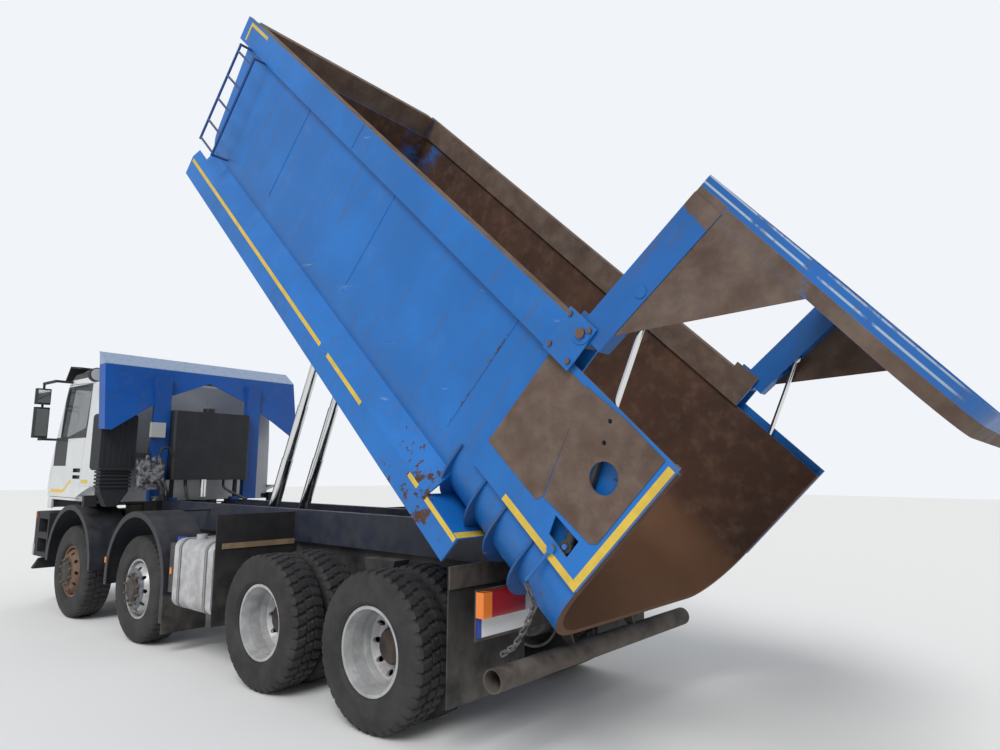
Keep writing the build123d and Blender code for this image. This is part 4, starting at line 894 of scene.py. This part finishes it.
def piece(name: str, parts: Iterable[Mesh], finish: Finish, body: str,
          sharp: float = 35.0) -> bpy.types.Object:
    """Make a mesh object that rides on a body.

    Args:
        name: The piece's name.
        parts: Its meshes, each as corners and faces.
        finish: Its finish.
        body: The body that it rides on.
        sharp: Edges that bend more than this, in degrees, stay sharp.

    Returns:
        The object.
    """
    points: list = []
    faces: list = []
    for corners, quads in parts:
        faces += [[int(k) + len(points) for k in quad] for quad in quads]
        points += np.asarray(corners, float).tolist()
    mesh = bpy.data.meshes.new(name)
    mesh.from_pydata(points, [], faces)
    form = bmesh.new()
    form.from_mesh(mesh)
    bmesh.ops.recalc_face_normals(form, faces=form.faces)
    form.to_mesh(mesh)
    form.free()
    mesh.polygons.foreach_set("use_smooth", [True] * len(mesh.polygons))
    mesh.set_sharp_from_angle(angle=math.radians(sharp))
    mesh.materials.append(finish.build())
    thing = add_object(name, mesh)
    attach(thing, body)
    LOG.info("made %s: %d faces", name, len(mesh.polygons))
    return thing


def add_object(name: str, data: bpy.types.ID) -> bpy.types.Object:
    """A new object in the scene.

    Args:
        name: The object's name.
        data: Its mesh, lamp or camera.

    Returns:
        The object.
    """
    thing = bpy.data.objects.new(name, data)
    bpy.context.scene.collection.objects.link(thing)
    return thing


def grid_faces(rows: int, columns: int, closed: bool) -> np.ndarray:
    """Quads of a grid whose corners are numbered row by row and whose last column joins the first.

    Args:
        rows: Corners along the first way.
        columns: Corners along the second way.
        closed: Whether the last row joins the first too.

    Returns:
        Four corner numbers for each quad.
    """
    r, c = np.meshgrid(np.arange(rows if closed else rows - 1), np.arange(columns), indexing="ij")
    r2 = (r + 1) % rows
    c2 = (c + 1) % columns
    corners = (r * columns + c, r2 * columns + c, r2 * columns + c2, r * columns + c2)
    return np.stack(corners, -1).reshape(-1, 4)


def boxes(centres: Line, halves: Vec, axes: np.ndarray = np.eye(3)) -> Mesh:
    """Many boxes as one mesh: each corner is the centre plus or minus the half size along each axis.

    Args:
        centres: One row for each box.
        halves: Half sizes.
        axes: Their three directions as rows.

    Returns:
        Corners and faces.
    """
    centres = np.atleast_2d(centres)
    signs = np.array([(x, y, z) for x in (-1, 1) for y in (-1, 1) for z in (-1, 1)])
    corners = centres[:, None, :] + (signs * halves) @ axes
    six = np.array([(0, 1, 3, 2), (4, 6, 7, 5), (0, 4, 5, 1), (2, 3, 7, 6), (0, 2, 6, 4), (1, 5, 7, 3)])
    faces = six[None] + 8 * np.arange(len(centres))[:, None, None]
    return corners.reshape(-1, 3), faces.reshape(-1, 4)


def tube(path: Line, radius: float, sides: int = 12, helper: Vec = (0.05, 1.0, 0.07)) -> Mesh:
    """Round bar carried along a path: a ring at each point, square to the way the path runs there.

    Args:
        path: Points of the centreline.
        radius: Radius of the bar.
        sides: Corners of each ring.
        helper: A direction that the path never takes; it fixes where the rings start.

    Returns:
        Corners and faces, with both ends closed.
    """
    path = np.asarray(path, float)
    ahead = np.gradient(path, axis=0)
    ahead /= np.linalg.norm(ahead, axis=1)[:, None]
    first = np.cross(ahead, helper)
    first /= np.linalg.norm(first, axis=1)[:, None]
    second = np.cross(ahead, first)
    turn = 2 * np.pi * np.arange(sides)[None, :, None] / sides
    rings = path[:, None, :] + radius * (np.cos(turn) * first[:, None, :] + np.sin(turn) * second[:, None, :])
    faces = grid_faces(len(path), sides, False).tolist()
    faces += [list(range(sides)), [len(path) * sides - 1 - k for k in range(sides)]]
    return rings.reshape(-1, 3), faces


def studs(feet: Line, out: Vec, radius: float, height: float, sides: int = 6) -> list[Mesh]:
    """Round or six-sided heads.

    Args:
        feet: Middle of each foot.
        out: Unit direction that the heads stand in.
        radius: Corner radius.
        height: Height.
        sides: Corners of each head.

    Returns:
        A mesh for each head.
    """
    rise = height * np.array(out)
    return [tube((foot, foot + rise), radius, sides, (0.31, 0.17, 0.93)) for foot in np.atleast_2d(feet)]


def smooth_path(points: Line, steps: int = 8) -> np.ndarray:
    """Curve through points: a cubic between each pair, with the slope of its neighbours.

    Args:
        points: Points that the curve goes through.
        steps: Points on each stretch.

    Returns:
        Points of the curve.
    """
    p = np.asarray(points, float)
    p = np.concatenate([[2 * p[0] - p[1]], p, [2 * p[-1] - p[-2]]])
    t = np.linspace(0, 1, steps, endpoint=False)[:, None]
    parts = [b + 0.5 * ((c - a) * t + (2 * a - 5 * b + 4 * c - d) * t ** 2 + (3 * b - a - 3 * c + d) * t ** 3)
             for a, b, c, d in zip(p, p[1:], p[2:], p[3:])]
    return np.concatenate(parts + [p[-2:-1]])


def ribbon(points: Line, y: float, width: float, thick: float = 0.0015) -> Mesh:
    """Flat tape along a line on the bed's side: four corners at each point, mitred where the line bends.

    Args:
        points: Line in the bed's u and w.
        y: Face that the tape lies on; its sign says which side.
        width: Width of the tape.
        thick: Thickness.

    Returns:
        Corners and faces.
    """
    p = np.asarray(points, float)
    ahead = np.diff(p, axis=0)
    ahead /= np.linalg.norm(ahead, axis=1)[:, None]
    left = np.stack([-ahead[:, 1], ahead[:, 0]], 1)
    pair = np.concatenate([left[:1], left]) + np.concatenate([left, left[-1:]])
    reach = width * pair / (pair ** 2).sum(1)[:, None]
    flat = np.stack([p + reach, p + reach, p - reach, p - reach], 1)
    out = np.broadcast_to(y + math.copysign(thick, y) * np.array([0, 1, 1, 0]), flat.shape[:2])
    faces = grid_faces(len(p), 4, False).tolist()
    faces += [[0, 1, 2, 3], [4 * len(p) - 1 - k for k in range(4)]]
    return BED.points(np.stack([flat[..., 0], out, flat[..., 1]], -1)).reshape(-1, 3), faces


# Wheels

class Tread(Enum):
    """Pattern of a tyre: pitches around it, depth of a groove, and how far the shoulder is notched."""

    STEER = (48, 0.011, 0.8)
    DRIVE = (40, 0.016, 1.0)


@dataclass
class TyreSet:
    """The tyres of one wheel body; gaps are shares of a pitch, places across are shares of the crown."""

    body: str
    node: str
    tread: Tread
    y_middles: tuple[float, ...]
    x: float
    radius: float = 0.54
    half: float = 0.1575
    shoulder: float = 0.038
    around: int = 320
    outer_gap: float = 0.26
    inner_gap: float = 0.22
    ring_at: float = 0.32
    ring_half: float = 0.06

    def profile(self) -> np.ndarray:
        """Radius, offset and share of the groove at each corner of the cross section.

        Returns:
            Three rows, each with one number for each corner.
        """
        inset = [(0.286, 0.04, 0), (0.303, 0.04, 0), (0.31, 0.022, 0), (0.33, 0.005, 0), (0.352, 0.0015, 0),
                 (0.43, 0, 0), (0.47, 0.004, 0), (0.492, 0.008, 0), (0.505, 0.012, 0.55), (0.523, 0.024, 0.9)]
        wall = np.array(inset) - (0, self.half, 0)
        right = np.array([0, 0.12, 0.24, 0.27, 0.37, 0.4, 0.62, 0.84, 1])
        s = np.concatenate([-right[:0:-1], right])
        crown = np.stack([self.radius - 0.005 * s ** 2, s * (self.half - self.shoulder), np.ones_like(s)], 1)
        return np.concatenate([wall, crown, (wall * (1, -1, 1))[::-1]]).T

    def surface(self, y: float) -> Mesh:
        """One tyre: the profile turned about the axle, its radius less where a groove runs.

        Args:
            y: Middle of the tyre across the truck.

        Returns:
            Corners and faces.
        """
        pitches, depth, notch = self.tread.value
        r, off, share = self.profile()
        turn = 2 * np.pi * np.arange(self.around)[:, None] / self.around
        across = off / (self.half - self.shoulder)
        away = np.abs(across)
        phase = turn * pitches / (2 * np.pi)
        lean = 0.3 * away + 0.5 * (across > 0)
        outer = (np.mod(phase + lean, 1.0) < self.outer_gap) & (away > self.ring_at + 0.01)
        inner = (np.mod(phase + 0.25 + 0.35 * across, 1.0) < self.inner_gap) & (away < self.ring_at - 0.01)
        ring = np.abs(away - self.ring_at) < self.ring_half
        cut = np.where(away > 1.02, notch, 1.0)
        radius = r - depth * share * np.maximum(ring * 1.0, np.maximum(outer, inner) * cut)
        points = np.stack([self.x + radius * np.sin(turn), np.broadcast_to(y + off, radius.shape),
                           HUB_Z + radius * np.cos(turn)], -1)
        return points.reshape(-1, 3), grid_faces(self.around, len(r), True)

    def build(self) -> None:
        """Make the tyres in place of the plain ones."""
        parts = [self.surface(y) for y in self.y_middles]
        thing = piece(self.node + "_tread", parts, TYRE, self.body, 28.0)
        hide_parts(self.node)


@dataclass
class Nuts:
    """Nuts and hub bolts of one wheel."""

    body: str
    name: str
    x: float
    face_y: float
    side: int
    driven: bool
    circle: float = 0.1525
    nut: float = 0.017

    def ring(self, count: int, radius: float, y: float, start: float = 0.0) -> np.ndarray:
        """Points round the axle: the radius times the cosine along X and the sine up Z."""
        turn = 2 * np.pi * (np.arange(count) + start) / count
        return np.stack([self.x + radius * np.cos(turn), np.full(count, y), HUB_Z + radius * np.sin(turn)], 1)

    def build(self) -> None:
        """Ten nuts on their circle, with a bolt end on each, and a ring of small bolts on the hub."""
        out = (0.0, float(self.side), 0.0)
        feet = self.ring(10, self.circle, self.face_y, 0.5)
        if self.driven:
            bolts = self.ring(12, 0.088, self.face_y + 0.08 * self.side)
        else:
            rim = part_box("rim_" + self.name)
            bolts = self.ring(8, 0.066, rim[self.side > 0][1] - 0.006 * self.side)
        parts = studs(feet, out, self.nut, 0.02) + studs(feet, out, 0.01, 0.034, 8)
        parts += studs(bolts, out, 0.008, 0.006)
        piece("nuts_" + self.name, parts, NUTS, self.body)


@dataclass
class Wheels:
    """All wheels."""

    steer_y: float = 1.05
    drive_y: float = 1.0925
    twin_gap: float = 0.35
    disc: float = 0.175
    recess: float = 0.012

    def build(self) -> None:
        """Tyres with tread, and nuts, on each wheel body."""
        for axle in (1, 2, 3, 4):
            for side, word in ((1, "left"), (-1, "right")):
                name = f"{axle}{word[0]}"
                body = f"wheel_{axle}_{word}"
                low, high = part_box("tyre_" + name)
                x = (low[0] + high[0]) / 2
                driven = axle > 2
                middles = (self.drive_y, self.drive_y - self.twin_gap) if driven else (self.steer_y,)
                face = middles[0] + (self.recess - self.disc if driven else self.disc)
                tread = Tread.DRIVE if driven else Tread.STEER
                TyreSet(body, "tyre_" + name, tread, tuple(side * y for y in middles), x).build()
                Nuts(body, name, x, side * face, side, driven).build()


# Bed and tailgate

@dataclass
class BedTapes:
    """Yellow tapes on the bed's sides, and weld beads on its walls; lines and spans are in u and w."""

    width: float = 0.045
    skirt_width: float = 0.036
    front_width: float = 0.03
    sheet_y: float = 1.268
    skirt_y: float = 1.275
    skirt_w: float = -1.424
    corner: Line = ((0.74, -0.955), (0.068, -0.955), (0.068, -0.1))
    front: Line = ((5.71, 0.075), (6.12, 0.075), (6.12, -0.085))
    legs: Line = ((6.13, 2.87), (2.74, 2.15), (1.42, 1.3), (1.19, 0.83))
    shelf: Point = (0.846, 1.13, -1.3995)
    seams: tuple[float, ...] = (1.41, 3.01, 4.57)
    seam_span: tuple[float, float] = (-0.99, -0.117)
    rail_seam: float = 3.71
    rail_half: float = 0.112

    def build(self) -> None:
        """Tape along the rear corner, the skirt and the front corner of the rail; beads down the walls."""
        tapes = []
        beads = []
        low, high = self.seam_span
        for s in SIDES:
            tapes.append(ribbon(self.corner, s * self.sheet_y, self.width))
            tapes.append(ribbon(self.front, s * self.skirt_y, self.front_width))
            for leg in self.legs:
                line = [(u, self.skirt_w) for u in leg]
                tapes.append(ribbon(line, s * self.skirt_y, self.skirt_width))
            middle = BED.points(np.array(self.shelf) * (1, s, 1))
            tapes.append(boxes(middle, (self.width / 2, 0.143, 0.0008), BED.axes))
            for u in self.seams:
                beads.append(ribbon(((u, low), (u, high)), s * 1.235, 0.012, 0.003))
            rail = ((self.rail_seam, -self.rail_half), (self.rail_seam, self.rail_half))
            beads.append(ribbon(rail, s * self.skirt_y, 0.012, 0.003))
        piece("bed_tapes", tapes, TAPE, "bed")
        piece("bed_seams", beads, BLUES["frame"], "bed")


@dataclass
class BedBolts:
    """Bolt heads on the hinge ears of the tailgate."""

    ear_y: float = 1.309
    pin_y: float = 1.317
    ears: Line = ((0.9, -0.07), (0.9, 0.14), (1.07, -0.07), (1.07, 0.14))

    def build(self) -> None:
        """Heads around the hinge pins, and the nuts on the pins."""
        parts = []
        for s in SIDES:
            out = (0.0, float(s), 0.0)
            parts += studs(BED.points([(u, s * self.ear_y, w) for u, w in self.ears]), out, 0.016, 0.012)
            pin = BED.points((GATE_PIN[0], s * self.pin_y, GATE_PIN[1]))
            parts += studs(pin, out, 0.03, 0.014, 16)
        piece("bed_bolts", parts, STEEL_RUST, "bed")


# Cab, chassis and small fittings; x counts from the last axle

@dataclass
class Plates:
    """Amber side markers, the blank number plate, and the bars that clamp the rubber sheets."""

    markers: Line = ((4.435, 1.251, 0.783), (2.962, 1.221, 0.801), (6.786, 1.241, 1.15),
                     (4.435, -1.251, 0.783), (6.786, -1.241, 1.15))
    number_plate: Line = ((-1.003, 0.975, 0.836),)
    bars: Line = ((2.086, 0.82, 1.09), (2.086, -0.82, 1.09))

    def build(self) -> None:
        """Each kind is a set of boxes of one size."""
        for name, middles, halves, finish, slot in (
                ("side_markers", self.markers, (0.011, 0.006, 0.03), AMBER, "lamp_lens"),
                ("number_plate", self.number_plate, (0.003, 0.26, 0.056), PLATE, "blank_plate"),
                ("flap_bars", self.bars, (0.004, 0.37, 0.024), WOOD, "rusty_steel")):
            piece(name, [boxes(np.array(middles) + (LAST_AXLE, 0, 0), halves)], finish, "chassis")


@dataclass
class CabFittings:
    """Mirror glasses and the work lamps' glasses; each mirror has its height and half its glass's."""

    mirror: tuple[float, float] = (6.758, 1.3)
    mirrors: Line = ((2.375, 0.18), (2.725, 0.085))
    lamp: Point = (5.25, 1.205, 2.905)

    def build(self) -> None:
        """Glass panes on the mirrors' rear faces, and discs on the lamps."""
        x, y = self.mirror
        panes = [boxes((LAST_AXLE + x, s * y, z), (0.0015, 0.072, half))
                 for s in SIDES for z, half in self.mirrors]
        piece("mirror_glasses", panes, MIRROR, "cab")
        x, y, z = self.lamp
        discs = studs([(LAST_AXLE + x, s * y, z) for s in SIDES], (-1.0, 0.0, 0.0), 0.074, 0.004, 32)
        piece("work_lamp_glasses", discs, CLEAR, "cab")


@dataclass
class Hoses:
    """Hydraulic hoses and the return filter behind the cab; each hose has its radius and a few points."""

    runs: tuple = (
        (0.014, ((4.575, 0.66, 1.62), (4.47, 0.655, 1.6), (4.42, 0.64, 1.5), (4.5, 0.6, 1.405))),
        (0.014, ((4.575, 0.73, 1.62), (4.45, 0.735, 1.615), (4.4, 0.69, 1.48), (4.48, 0.64, 1.4))),
        (0.013, ((4.64, 0.66, 1.92), (4.635, 0.64, 2.01), (4.64, 0.56, 2.02), (4.65, 0.5, 1.93))),
        (0.013, ((4.64, 0.8, 1.92), (4.63, 0.8, 2.04), (4.69, 0.77, 2.11), (4.72, 0.69, 2.16))),
        (0.02, ((4.7, 0.3, 1.645), (4.68, 0.3, 1.56), (4.6, 0.32, 1.47), (4.45, 0.37, 1.395))),
        (0.016, ((4.7, -0.2, 1.645), (4.68, -0.21, 1.54), (4.56, -0.3, 1.46), (4.4, -0.37, 1.395))),
    )
    filter_at: tuple[float, float] = (4.66, 0.09)
    filter_rings: tuple[float, ...] = (1.43, 1.46, 1.461, 1.56, 1.561, 1.645)

    def build(self) -> None:
        """Each hose is a round bar along a smooth curve through its points."""
        parts = [tube(smooth_path(points) + (LAST_AXLE, 0, 0), radius) for radius, points in self.runs]
        piece("hoses", parts, HOSE, "chassis")
        x, y = self.filter_at
        body = [(LAST_AXLE + x, y, z) for z in self.filter_rings]
        piece("return_filter", [tube(body, 0.042, 24)], CHROME, "chassis")


@dataclass
class Stage:
    """Floor, light and background."""

    far: float = 60.0
    sun_energy: float = 1.9
    sun_angle: float = 0.5
    sun_way: Point = (0.35, -0.62, -0.7)
    sky: float = 0.62

    def build(self) -> None:
        """Pale floor, one soft sun and an even sky that shows white to the camera."""
        mesh = bpy.data.meshes.new("floor")
        square = [(x * self.far, y * self.far, 0) for x, y in ((-1, -1), (1, -1), (1, 1), (-1, 1))]
        mesh.from_pydata(square, [], [(0, 1, 2, 3)])
        mesh.materials.append(FLOOR.build())
        floor = add_object("floor", mesh)
        floor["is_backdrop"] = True
        lamp = bpy.data.lights.new("sun", "SUN")
        lamp.energy = self.sun_energy
        lamp.angle = self.sun_angle
        sun = add_object("sun", lamp)
        sun.rotation_euler = Vector(self.sun_way).to_track_quat("-Z", "Y").to_euler()
        world = bpy.data.worlds.new("sky")
        world.use_nodes = True
        t = Tree(world.node_tree)
        light = t.tree.nodes["Background"]
        t.put(light.inputs["Color"], (0.96, 0.98, 1.0))
        t.put(light.inputs["Strength"], self.sky)
        shown = t.add("Background")
        t.put(shown.inputs["Color"], (0.88, 0.91, 0.95))
        ray = t.add("LightPath")
        either = t.add("MixShader")
        seen = t.most(ray.outputs["Is Camera Ray"], ray.outputs["Is Transmission Ray"])
        for i, socket in enumerate((seen, light.outputs[0], shown.outputs[0])):
            t.put(either.inputs[i], socket)
        t.put(t.tree.nodes["World Output"].inputs[0], either.outputs[0])
        bpy.context.scene.world = world
        bpy.context.scene.view_settings.view_transform = "Standard"


@dataclass(frozen=True)
class Photo:
    """Place and direction of the photograph's camera; x counts from the last axle."""

    x: float = -3.8626
    y: float = 4.4553
    z: float = 1.7706
    yaw: float = -50.089
    pitch: float = 7.985
    roll: float = 0.47
    lens: float = 24.845
    sensor: float = 36.0

    def build(self) -> None:
        """Make the camera, turned by its roll, pitch and yaw, and the scene's active one."""
        data = bpy.data.cameras.new("photo_camera")
        data.lens = self.lens
        data.sensor_width = self.sensor
        data.clip_end = 200.0
        camera = add_object("photo_camera", data)
        turns = ((self.yaw - 90.0, "Z"), (self.pitch + 90.0, "X"), (self.roll, "Z"))
        yaw, pitch, roll = (Matrix.Rotation(math.radians(degrees), 4, axis) for degrees, axis in turns)
        spot = Matrix.Translation((LAST_AXLE + self.x, self.y, self.z))
        camera.matrix_world = spot @ yaw @ pitch @ roll
        bpy.context.scene.camera = camera


def write_size(state: str, sizes: dict) -> None:
    """Args:
        state: "frame" straight after loading or "dressed" at the end.
        sizes: The boxes so far.
    """
    sizes[state] = [list(corner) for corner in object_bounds()]


def main() -> None:
    """Dress the frame, add the pieces and set up the view."""
    logging.basicConfig(level=logging.INFO)
    sizes: dict = {}
    write_size("frame", sizes)
    dress_frame()
    for part in (Wheels(), BedTapes(), BedBolts(), Plates(), CabFittings(), Hoses(), Stage(), Photo()):
        part.build()
    write_size("dressed", sizes)


if __name__ == "__main__":
    main()
